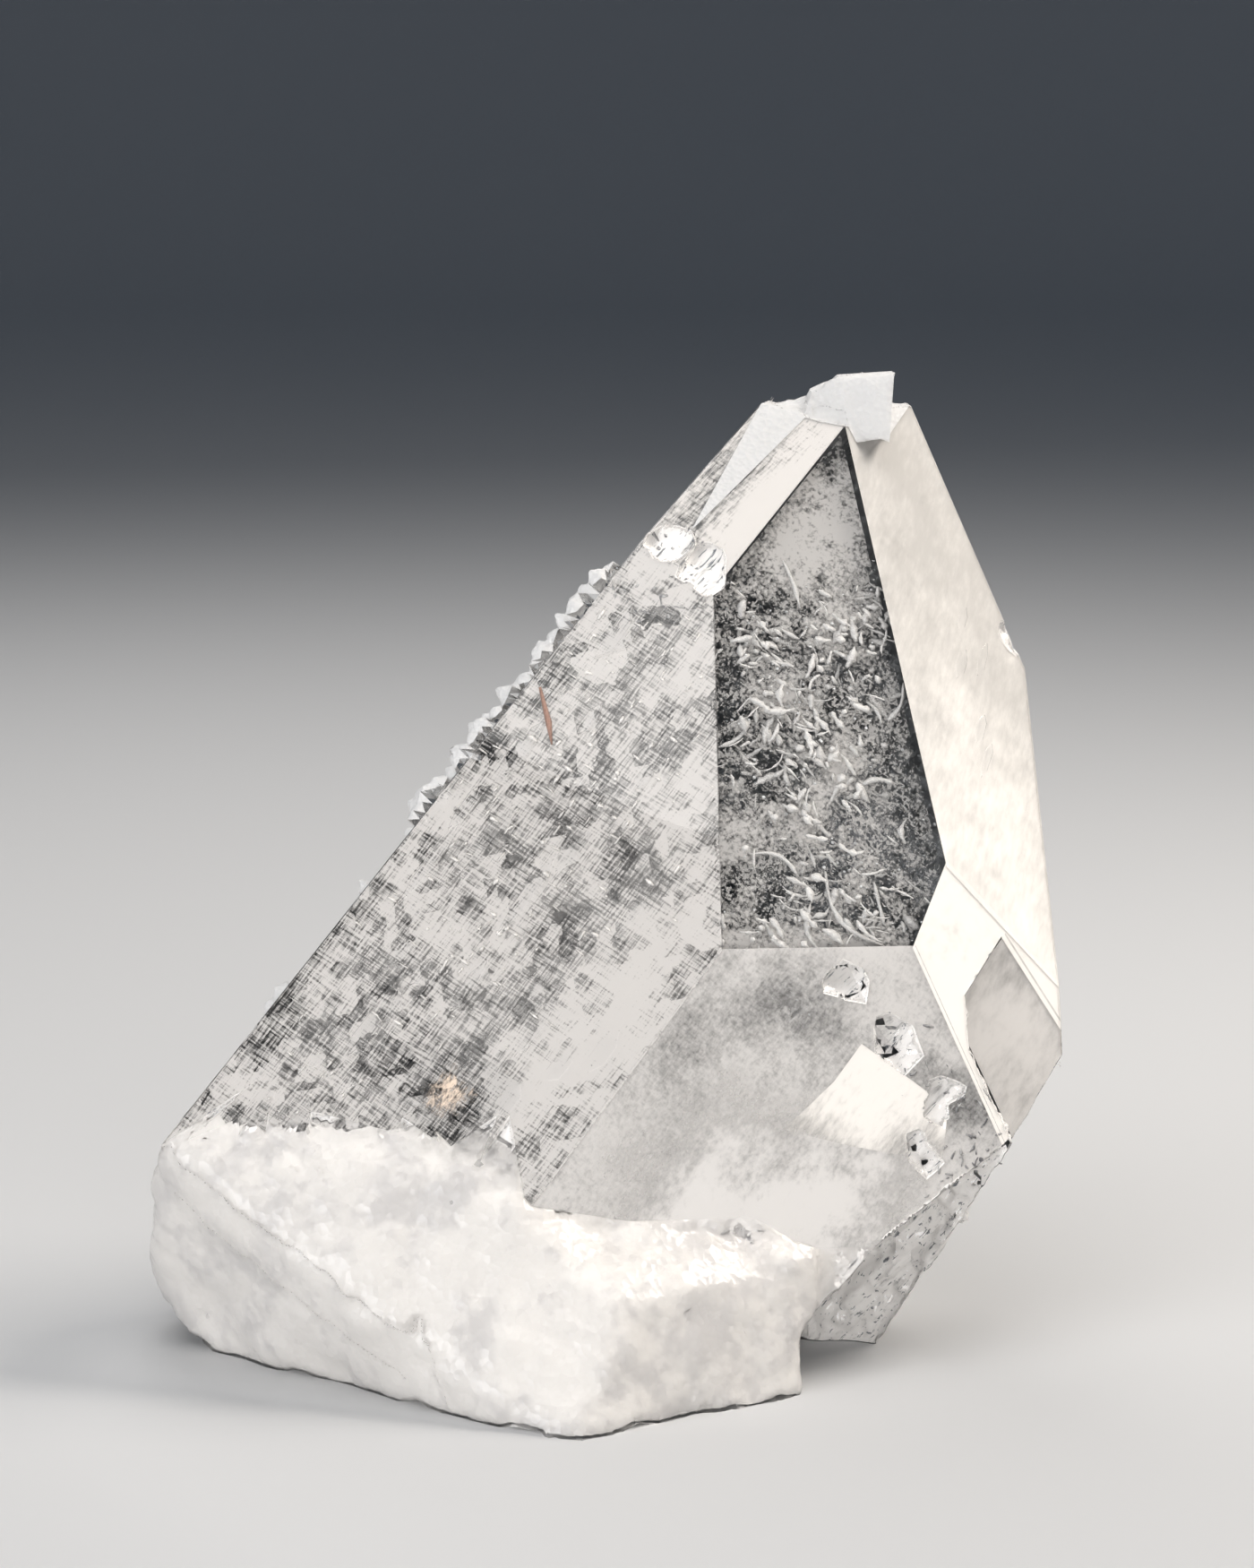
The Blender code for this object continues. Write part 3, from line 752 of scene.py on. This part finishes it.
# Healed veils under the faces: face, depth, margin, colour and the veil's own values.
VEILS = {
    "left_fade": ("front_left", 0.05, 0.06, MILK, dict(
        Length=1.6, Width=1.2, Cover=-0.9, Clouds=1.2, Grain=1.0, Soft=0.6, Cloud_Size=4.0, high=0.95,
        spots=(((-7.0, 12.0), (11.0, 17.0), 2.0), ((2.0, 5.0), (8.0, 5.0), 1.2)))),
    "left_streaks": ("front_left", 0.08, 0.06, PALE, dict(
        Length=4.0, Width=0.3, Weave=0.8, Cover=0.68, Blocks=0.6, Block_Size=0.9, Clouds=1.2, Grain=2.0,
        Soft=0.5, high=0.96, Cloud_Size=5.0, spots=(
            ((28.0, 18.0), (9.0, 5.0), 0.1), ((12.0, 7.0), (16.0, 6.0), 0.45),
            ((27.0, 11.5), (9.0, 3.0), 0.3), ((5.5, 12.5), (4.0, 3.0), -0.2),
            ((21.0, 11.5), (4.0, 3.0), -0.35)))),
    "left_clouds": ("front_left", 2.0, 2.0, PALE, dict(
        Length=0.6, Width=2.0, Weave=0.6, Cover=0.8, Blocks=0.8, Block_Size=1.4, Clouds=1.2, Grain=1.0,
        Soft=0.6, Cloud_Size=7.0, high=0.95, spots=(
            ((12.0, 7.0), (16.0, 6.0), 0.4), ((5.5, 12.5), (4.0, 3.0), -0.3)))),
    "window_haze": ("window", 1.0, 1.0, WHITE, dict(
        Length=0.7, Width=0.5, Weave=0.8, Cover=0.2, Clouds=1.6, Grain=1.5, Soft=0.5, Cloud_Size=1.5,
        high=0.85, spots=(
            ((41.5, 19.2), (8.0, 5.5), 0.9), ((31.7, 15.2), (3.0, 2.6), 0.6), ((30.1, 10.3), (3.4, 2.6), 0.6),
            ((25.8, 10.2), (3.6, 3.0), 0.55), ((37.0, 15.4), (4.0, 2.0), 0.4),
            ((21.5, 12.5), (6.0, 2.2), 0.6), ((16.5, 8.0), (3.8, 4.5), 0.9), ((19.3, 5.0), (3.2, 3.6), 0.85),
            ((21.5, 2.0), (2.8, 3.0), 0.8)))),
    "window_flakes": ("window", 1.6, 1.6, WHITE, dict(
        Length=0.6, Width=0.45, Weave=0.9, Cover=0.27, Clouds=1.8, Grain=2.4, Soft=0.1, Cloud_Size=1.6,
        Bend=1.0, high=0.95, spots=(
            ((31.0, 15.0), (4.0, 3.0), 0.3), ((39.5, 15.0), (4.0, 3.0), 0.3), ((30.0, 10.0), (4.0, 3.0), 0.3),
            ((25.0, 9.0), (4.5, 3.0), 0.3), ((19.0, 5.5), (4.5, 6.0), 0.35), ((24.5, 14.5), (4.0, 2.0), -0.3),
            ((32.5, 6.0), (4.5, 2.2), 0.05), ((35.0, 9.5), (5.0, 2.5), 0.35)))),
    "upper_streaks": ("upper_front", 0.08, 0.06, PALE, dict(
        Length=2.5, Width=0.4, Weave=0.5, Cover=0.7, Clouds=1.2, Grain=1.8, Soft=0.5, high=0.94,
        spots=(((39.0, 19.3), (12.0, 3.0), 0.7),))),
    "right_fade": ("lower_right", 0.06, 0.06, (0.86, 0.835, 0.81), dict(
        Length=1.2, Width=0.8, Cover=-0.7, Clouds=1.6, Grain=1.2, Soft=0.8, Cloud_Size=3.0, high=0.97,
        spots=(((7.5, 0.0), (14.0, 15.0), 2.3), ((15.5, -2.0), (6.0, 6.0), 0.9)))),
    "lower_mist": ("lower_right", 0.1, 0.06, (0.8, 0.775, 0.75), dict(
        Length=1.0, Width=0.5, Weave=0.7, Cover=1.05, Blocks=0.15, Block_Size=0.8, Clouds=0.7, Grain=0.8,
        Soft=0.75, Cloud_Size=3.0, high=0.97, spots=(
            ((20.0, 5.5), (4.5, 7.5), -0.5), ((7.9, 0.9), (1.2, 0.8), -0.9),
            ((14.0, 9.5), (8.0, 5.0), -0.3), ((21.5, -4.5), (3.0, 4.5), -0.6)))),
    "facet_mist": ("corner_facet", 0.08, 0.06, WHITE, dict(
        Length=3.0, Width=1.5, Cover=0.85, Clouds=0.6, Grain=0.5, Soft=0.5, Cloud_Size=6.0, high=0.9)),
    # The sunlit veils are painted sunlight on the right-hand faces. The front's has a greyer second colour
    # and is palest towards its bottom: painted light as well.
    "sunlit_front": ("right_front", 0.08, 0.03, SUNLIT_BRIGHT, dict(
        Length=4.0, Width=2.0, Cover=1.0, Clouds=0.5, Grain=0.5, Soft=0.5, high=0.98,
        tone=((0.6, 0.58, 0.555), (((20.0, 0.0), (30.0, 40.0), 0.8),), dict(
            Length=3.0, Width=1.0, Cover=0.0, Clouds=0.8, Grain=0.8, Soft=0.7, Cloud_Size=4.0)))),
    "sunlit_corner": ("right_corner", 0.08, 0.03, SUNLIT_BRIGHT, dict(
        Length=2.0, Width=2.0, Cover=1.0, Clouds=0.5, Grain=0.5, Soft=0.5, high=0.98)),
    "sunlit_side": ("right_side", 0.08, 0.03, SUNLIT_CREAM, dict(
        Length=4.0, Width=2.0, Cover=0.9, Clouds=0.5, Grain=0.6, Soft=0.5, high=0.95)),
    "sunlit_shoulder": ("right_shoulder", 0.08, 0.03, SUNLIT_CREAM, dict(
        Length=4.0, Width=2.0, Cover=0.95, Clouds=0.5, Grain=0.6, Soft=0.5, high=0.95)),
    "back_streaks": ("back", 0.1, 0.08, WHITE, dict(
        BACK, Cover=0.9, Grain=1.2, high=0.97, spots=(((27.0, -8.0), (14.0, 10.0), -0.5),))),
    "back_left_streaks": ("back_left", 0.1, 0.08, WHITE, dict(BACK, Cover=0.85, Grain=1.4, high=0.96)),
    "back_low_streaks": ("back_left_low", 0.1, 0.08, WHITE, dict(BACK, Cover=0.85, Grain=1.4, high=0.96)),
}


def face_patch(name, corners, depth):
    """A flat patch under a growth face, from its corners along and across the face's streaks."""
    bm = bmesh.new()
    verts = [bm.verts.new(to_row(face_point(name, along, across, depth))) for along, across in corners]
    bmesh.ops.contextual_create(bm, geom=verts)
    bm.normal_update()
    if bm.faces[:][0].normal.dot(PLANES[name][0]) < 0.0:
        bmesh.ops.reverse_faces(bm, faces=bm.faces[:])
    return bm


# Bright cracks that lie just under a face, and a painted warm glint: face, colour, corners along and across
# it and the veil's values.
PATCHES = {
    "bright_fracture": ("lower_right", (0.99, 0.955, 0.91), (
        (20.6, 1.9), (20.9, -4.4), (18.2, -6.0), (15.6, -1.0), (14.0, 2.6), (17.9, 1.9)), dict(
            Cover=1.0, Clouds=0.6, Grain=0.8, Soft=0.5,
            spots=(((14.0, 1.0), (3.5, 6.0), -0.7), ((17.2, -5.5), (3.5, 4.0), -1.0)))),
    # A painted highlight: the warm glint of light off a crack under the left face.
    "warm_glint": ("front_left", (1.0, 0.84, 0.7), (
        (7.3, 15.3), (7.3, 9.3), (1.3, 9.3), (1.3, 15.3)), dict(
            Length=0.9, Width=0.4, Cover=-0.3, Blocks=0.7, Clouds=0.8, Grain=1.5, Soft=0.4, high=0.85,
            Bend=0.2, spots=(((4.3, 12.3), (2.8, 2.4), 1.3),))),
}


class QUARTZ_OT_veils(bpy.types.Operator):
    """Makes the healed veils and the bright cracks under the growth faces"""

    bl_idname = "quartz.veils"
    bl_label = "Veils"

    def execute(self, context):
        surface = crystal_surface()
        sheets = {name: (inner_sheet(face, depth, margin), face, colour, values)
                  for name, (face, depth, margin, colour, values) in VEILS.items()}
        sheets |= {name: (face_patch(face, corners, PATCH_DEPTH), face, colour, values)
                   for name, (face, colour, corners, values) in PATCHES.items()}
        for name, (sheet, face, colour, values) in sheets.items():
            trim(sheet, surface)
            add_piece(name, sheet, [veil_material(name, face_axes(face), colour, **values)])
        return {"FINISHED"}


def append(bm, part):
    """Adds one small mesh to a larger one."""
    mesh = bpy.data.meshes.new("part")
    part.to_mesh(mesh)
    part.free()
    bm.from_mesh(mesh)
    bpy.data.meshes.remove(mesh)


def worm(path, width, flatness, facing, draw):
    """A curved thread along a path, thin at both ends and flattened across the facing direction."""
    bm = bmesh.new()
    ring = bmesh.ops.create_circle(bm, cap_ends=True, segments=5, radius=1.0)["verts"]
    bmesh.ops.delete(bm, geom=bm.faces[:], context="FACES_ONLY")
    rings = [ring]
    for _ in path[1:]:
        edges = [edge for edge in bm.edges if all(end in rings[-1] for end in edge.verts)]
        made = bmesh.ops.extrude_edge_only(bm, edges=edges)["geom"]
        rings.append([item for item in made if isinstance(item, bmesh.types.BMVert)])
    last = len(path) - 1
    for step, verts in enumerate(rings):
        ahead = (path[min(step + 1, last)] - path[max(step - 1, 0)]).normalized()
        side = ahead.cross(facing).normalized()
        out = side.cross(ahead)
        swell = math.sin(math.pi * (step + 0.5) / (last + 1))
        thick = width * draw.uniform(0.4, 1.5) * (0.15 + 0.85 * swell)
        for vert in verts:
            vert.co = path[step] + side * (vert.co.x * thick) + out * (vert.co.y * thick * flatness)
    bmesh.ops.holes_fill(bm, edges=bm.edges, sides=0)
    bmesh.ops.recalc_face_normals(bm, faces=bm.faces)
    for face in bm.faces:
        face.smooth = True
    return bm


def streak_cross(name):
    """The direction across a growth face's streaks."""
    return -(face_axes(name).inverted() @ Vector((0.0, 1.0, 0.0)))


def thread_path(start, heading, normal, steps, stride, bend, draw, lift=0.12):
    """Points of a thread that wanders off from its start."""
    path = [start]
    direction = heading.normalized()
    turn = draw.uniform(-bend, bend)
    for _ in range(steps):
        turn += draw.uniform(-bend, bend) * 0.6
        direction = Matrix.Rotation(turn * 0.5, 3, normal) @ direction
        direction = (direction + normal * draw.uniform(-lift, lift)).normalized()
        path.append(path[-1] + direction * stride)
    return path


# Where threads crowd: face, middle along and across its streaks, and how far they spread.
THREAD_CROWDS = [("window", middle, reach) for middle, reach in (
    ((31.7, 15.2), 1.6), ((39.5, 14.8), 1.5), ((36.4, 15.4), 1.6), ((30.1, 10.3), 2.0),
    ((25.8, 10.2), 2.2), ((22.5, 7.5), 2.2), ((24.5, 4.5), 2.0), ((19.5, 5.5), 2.4),
    ((21.0, 2.5), 2.0), ((28.0, 13.5), 2.0), ((34.0, 13.0), 2.5), ((17.5, 8.0), 2.0),
    ((33.5, 18.0), 1.5))]
THREAD_CROWDS += [("lower_right", (21.5, 6.5), 1.8), ("lower_right", (21.5, 2.0), 1.8)]

# The longest threads: their ends along and across the window's streaks, and half their width. They lie
# at one depth under the window.
LONG_THREAD_DEPTH = 0.9
LONG_THREADS = (
    ((37.0, 10.0), (34.4, 9.4), 0.2), ((26.4, 16.3), (29.0, 15.8), 0.22), ((31.3, 6.9), (30.0, 8.4), 0.22),
    ((21.9, 6.8), (19.7, 4.3), 0.2), ((24.1, 7.2), (22.5, 2.0), 0.15), ((25.4, 4.6), (23.6, 2.7), 0.17),
    ((22.1, 11.2), (22.8, 8.2), 0.16), ((38.8, 19.9), (36.9, 17.4), 0.16), ((29.9, 5.2), (28.6, 4.4), 0.2),
)

# Where small chips and cracks crowd, drawn as dark marks of painted shade: face, middle along and across its
# streaks, and their spread.
CHIP_CROWDS = (
    ("lower_right", (22.0, -3.0), (1.0, 2.0)), ("lower_right", (20.4, -7.5), (1.2, 1.2)),
    ("lower_right", (17.5, -7.0), (1.5, 0.8)), ("lower_right", (8.0, 0.9), (0.5, 0.5)),
    ("upper_front", (33.6, 22.0), (0.5, 2.0)), ("front_left", (34.5, 21.5), (0.5, 1.5)),
)

# Where short bright dashes crowd under the left face, in the same way.
DASH_CROWDS = (
    ("front_left", (27.0, 19.0), (4.0, 2.5)), ("front_left", (18.0, 19.0), (4.0, 3.0)),
    ("front_left", (10.0, 17.0), (4.0, 3.5)), ("front_left", (20.0, 14.0), (5.0, 2.5)),
    ("front_left", (33.0, 20.0), (3.0, 2.5)), ("front_left", (1.0, 19.0), (3.0, 2.5)),
)

# How many chips and dashes are tried, and the seed of all the random draws.
CHIPS, DASHES = 120, 260
SEED = 4

# The needle: its points along and across the left face's streaks, its depth, half its width in
# millimetres and how flat it is.
NEEDLE = ((26.9, 23.2), (25.4, 21.4), (24.4, 20.4))
NEEDLE_DEPTH, NEEDLE_WIDTH, NEEDLE_FLATNESS = 0.05, 0.16, 0.18


def window_threads(look, surface, draw):
    """The white threads under the window and just below it."""
    bm = bmesh.new()
    normal = PLANES["window"][0]
    for start, end, width in LONG_THREADS:
        first, last = (face_point("window", *place, LONG_THREAD_DEPTH) for place in (start, end))
        bow = (last - first).cross(normal) * draw.uniform(-0.25, 0.25)
        path = [first.lerp(last, step / 6) + bow * math.sin(math.pi * step / 6) for step in range(7)]
        append(bm, worm([to_row(point) / MM for point in path], width, 0.4, normal, draw))
    made = 0
    while made < look.threads:
        face, (middle_along, middle_across), reach = draw.choice(THREAD_CROWDS)
        normal = PLANES[face][0]
        start = face_point(face, draw.gauss(middle_along, reach * 0.7),
                           draw.gauss(middle_across, reach * 0.7), draw.uniform(0.35, 1.6))
        heading = streak_cross(face)
        if draw.random() < 0.3:
            heading = heading.cross(normal)
        heading = Matrix.Rotation(draw.uniform(-0.6, 0.6), 3, normal) @ heading
        path = thread_path(start, heading, normal, draw.randint(2, 7), draw.uniform(0.12, 0.3), 0.25, draw)
        share = draw.uniform(0.2, 0.5) if draw.random() < 0.5 else draw.uniform(0.5, 1.0)
        if all(within(surface, to_row(point), 0.35) for point in path):
            width = share * look.thread_width / MM
            append(bm, worm([to_row(point) / MM for point in path], width, 0.4, normal, draw))
            made += 1
    bm.transform(Matrix.Scale(MM, 4))
    return bm


def flecks(look, surface, draw):
    """Small white flecks, most of them among the threads."""
    bm = bmesh.new()
    made = 0
    while made < look.flecks:
        if draw.random() < 0.75:
            face, (middle_along, middle_across), reach = draw.choice(THREAD_CROWDS)
            point = face_point(face, draw.gauss(middle_along, reach * 1.2),
                               draw.gauss(middle_across, reach * 1.2), draw.uniform(0.3, 4.0))
        else:
            name = draw.choice(("window", "front_left", "lower_right"))
            point = face_point(name, draw.uniform(-8.0, 44.0), draw.uniform(-8.0, 24.0),
                               draw.uniform(0.15, 7.0))
        if within(surface, to_row(point), 0.12):
            fleck = bmesh.new()
            bmesh.ops.create_icosphere(fleck, subdivisions=0, radius=draw.uniform(0.03, 0.12) * MM)
            tilt = Matrix.Rotation(draw.uniform(0.0, 3.1), 4, "X") @ Matrix.Diagonal((1.0, 1.0, 0.35, 1.0))
            fleck.transform(Matrix.Translation(to_row(point)) @ tilt)
            append(bm, fleck)
            made += 1
    return bm


def short_marks(crowds, count, depth, bend, surface, draw):
    """Short flat marks just under the crystal's surface, along or across its faces' streaks."""
    bm = bmesh.new()
    for _ in range(count):
        face, middle, reach = draw.choice(crowds)
        normal = PLANES[face][0]
        along, across = (draw.gauss(centre, size) for centre, size in zip(middle, reach))
        heading = streak_cross(face)
        if draw.random() < 0.5:
            heading = heading.cross(normal)
        heading = Matrix.Rotation(draw.uniform(-0.15 - bend, 0.15 + bend), 3, normal) @ heading
        path = thread_path(face_point(face, along, across, depth), heading, normal, 2,
                           draw.uniform(0.08, 0.35), bend, draw, 0.0)
        width = draw.uniform(0.04, 0.12)
        hits = [surface.find_nearest(to_row(point)) for point in path]
        if all(hit_normal.dot(normal) > 0.4 for _, hit_normal, _, _ in hits):
            places = [(place - hit_normal * depth * MM) / MM for place, hit_normal, _, _ in hits]
            append(bm, worm(places, width, 0.25, normal, draw))
    bm.transform(Matrix.Scale(MM, 4))
    return bm


class QUARTZ_OT_threads(bpy.types.Operator):
    """Makes the threads, flecks, chips, dashes and needle inside the crystal"""

    bl_idname = "quartz.threads"
    bl_label = "Threads and Flecks"

    def execute(self, context):
        look = context.scene.quartz_look
        draw = random.Random(SEED)
        surface = crystal_surface()
        add_piece("window_threads", window_threads(look, surface, draw),
                  [speck_quartz("thread_white", (0.8, 0.78, 0.76), (0.99, 0.97, 0.94))])
        add_piece("flecks", flecks(look, surface, draw),
                  [speck_quartz("fleck_white", (0.8, 0.8, 0.8), (1.0, 1.0, 1.0))])
        # The chips are dark marks of painted shade, where the chips and cracks are in shade.
        add_piece("chip_shade_marks", short_marks(CHIP_CROWDS, CHIPS, 0.06, 0.9, surface, draw),
                  [speck_quartz("chip_shadow", (0.12, 0.12, 0.13), (0.55, 0.54, 0.53))])
        add_piece("left_dashes", short_marks(DASH_CROWDS, DASHES, 0.05, 0.0, surface, draw),
                  [speck_quartz("dash_white", (0.7, 0.68, 0.66), (0.97, 0.94, 0.9))])
        ends = [face_point("front_left", *place, NEEDLE_DEPTH) for place in NEEDLE]
        needle = worm([to_row(end) / MM for end in ends], NEEDLE_WIDTH, NEEDLE_FLATNESS,
                      PLANES["front_left"][0], draw)
        needle.transform(Matrix.Scale(MM, 4))
        add_piece("needle", needle, [speck_quartz("needle_brown", look.needle_colour, (0.42, 0.23, 0.16))])
        return {"FINISHED"}


# ---------------------------------------------------------------- the stage

# Where the camera is and what it points at, in millimetres.
CAMERA_PLACE = Vector((1.2357, -244.2204, 75.379))
CAMERA_AIM = Vector((1.2357, -2.9424, 32.835))

# The floor's width, where it starts in front and begins to curve up, the curve's radius and the height
# of the backdrop above it, in metres.
FLOOR_WIDTH, FLOOR_FRONT, FLOOR_BEND, FLOOR_CURVE, BACKDROP = 8.0, -3.0, 0.9, 0.6, 3.0

# The lamps: name, place, what they point at and width in millimetres, power in watts and colour.
LAMPS = (
    ("key", (190, 60, 230), (0, 0, 25), 120, 0.48, (1.0, 0.94, 0.87)),
    ("overhead", (-30, -60, 300), (0, 0, 20), 260, 0.28, (1.0, 0.99, 0.98)),
    ("fill", (-260, -190, 50), (0, 0, 20), 200, 0.42, (0.97, 0.98, 1.0)),
    ("front", (40, -300, 50), (0, 0, 20), 120, 0.23, (1.0, 0.98, 0.96)),
    ("back", (-60, 230, 260), (0, 0, 20), 200, 0.25, (1.0, 0.98, 0.96)),
)


def area_light(name, place, aim, size, power, colour):
    """Adds a soft round lamp that points at a place."""
    light = bpy.data.lights.new(name, "AREA")
    light.shape = "DISK"
    light.size = size * MM
    light.energy = power
    light.color = colour
    lamp = bpy.data.objects.new(name, light)
    bpy.context.collection.objects.link(lamp)
    lamp.location = Vector(place) * MM
    lamp.rotation_euler = (Vector(aim) - Vector(place)).to_track_quat("-Z", "Y").to_euler()


def floor_sweep():
    """A floor that curves up into a backdrop far behind the crystal."""
    bm = bmesh.new()
    left = -0.5 * FLOOR_WIDTH
    front = bm.verts.new((left, FLOOR_FRONT, 0.0))
    foot = bm.verts.new((left, FLOOR_BEND, 0.0))
    bm.edges.new((front, foot))
    spun = bmesh.ops.spin(bm, geom=[foot], cent=(left, FLOOR_BEND, FLOOR_CURVE), axis=(1.0, 0.0, 0.0),
                          angle=math.radians(90), steps=16, use_merge=False)
    top = spun["geom_last"][0]
    rise = bmesh.ops.extrude_vert_indiv(bm, verts=[top])["verts"]
    bmesh.ops.translate(bm, verts=rise, vec=(0.0, 0.0, BACKDROP))
    side = bmesh.ops.extrude_edge_only(bm, edges=bm.edges[:])["geom"]
    bmesh.ops.translate(bm, verts=[item for item in side if isinstance(item, bmesh.types.BMVert)],
                        vec=(FLOOR_WIDTH, 0.0, 0.0))
    bmesh.ops.recalc_face_normals(bm, faces=bm.faces)
    for face in bm.faces:
        face.smooth = True
    return bm


class QUARTZ_OT_stage(bpy.types.Operator):
    """Makes the floor, the studio light and the camera"""

    bl_idname = "quartz.stage"
    bl_label = "Stage"

    def execute(self, context):
        stage = context.scene.quartz_stage
        bm = floor_sweep()
        mesh = bpy.data.meshes.new("floor")
        bm.to_mesh(mesh)
        bm.free()
        floor = bpy.data.objects.new("floor", mesh)
        bpy.context.collection.objects.link(floor)
        material, tree, shader, _ = new_material("pale_floor")
        feed(tree, shader, {"Base Color": (*stage.floor_colour, 1.0), "Roughness": 0.7})
        mesh.materials.append(material)

        world = bpy.data.worlds.new("studio")
        context.scene.world = world
        world.use_nodes = True
        feed(world.node_tree, world.node_tree.nodes["Background"],
             {"Color": (0.05, 0.06, 0.075, 1.0), "Strength": 1.0})

        for name, place, aim, size, power, colour in LAMPS:
            area_light(name, place, aim, size, power * stage.light, colour)

        camera = bpy.data.cameras.new("camera")
        camera.lens = stage.lens
        camera.sensor_width = 36.0
        camera.sensor_fit = "AUTO"
        camera.clip_start = 0.01
        camera.clip_end = 20.0
        eye = bpy.data.objects.new("camera", camera)
        bpy.context.collection.objects.link(eye)
        eye.location = CAMERA_PLACE * MM
        eye.rotation_euler = (CAMERA_AIM - CAMERA_PLACE).to_track_quat("-Z", "Y").to_euler()
        context.scene.camera = eye
        context.scene.view_settings.view_transform = "Standard"
        cycles = context.scene.cycles
        cycles.max_bounces = 7
        cycles.diffuse_bounces = 2
        cycles.transmission_bounces = 7
        return {"FINISHED"}


class QUARTZ_PT_panel(bpy.types.Panel):
    """Lists the crystal's operators"""

    bl_idname = "QUARTZ_PT_panel"
    bl_label = "Quartz Crystal"
    bl_space_type = "VIEW_3D"
    bl_region_type = "UI"
    bl_category = "Crystal"

    def draw(self, context):
        for settings in (context.scene.quartz_look, context.scene.quartz_stage):
            for name in settings.__annotations__:
                self.layout.prop(settings, name)
        for operator in OPERATORS:
            self.layout.operator(operator.bl_idname)


OPERATORS = (QUARTZ_OT_crystal, QUARTZ_OT_veils, QUARTZ_OT_threads, QUARTZ_OT_stage)
CLASSES = (QuartzLook, QuartzStage, *OPERATORS, QUARTZ_PT_panel)


def register():
    """Adds the classes and the settings to Blender."""
    for item in CLASSES:
        bpy.utils.register_class(item)
    bpy.types.Scene.quartz_look = PointerProperty(type=QuartzLook)
    bpy.types.Scene.quartz_stage = PointerProperty(type=QuartzStage)


def unregister():
    """Takes the settings and the classes out again."""
    del bpy.types.Scene.quartz_stage
    del bpy.types.Scene.quartz_look
    for item in reversed(CLASSES):
        bpy.utils.unregister_class(item)


def main():
    """Builds the crystal and its stage."""
    register()
    bpy.ops.quartz.crystal()
    bpy.ops.quartz.veils()
    bpy.ops.quartz.threads()
    bpy.ops.quartz.stage()


if __name__ == "__main__":
    main()
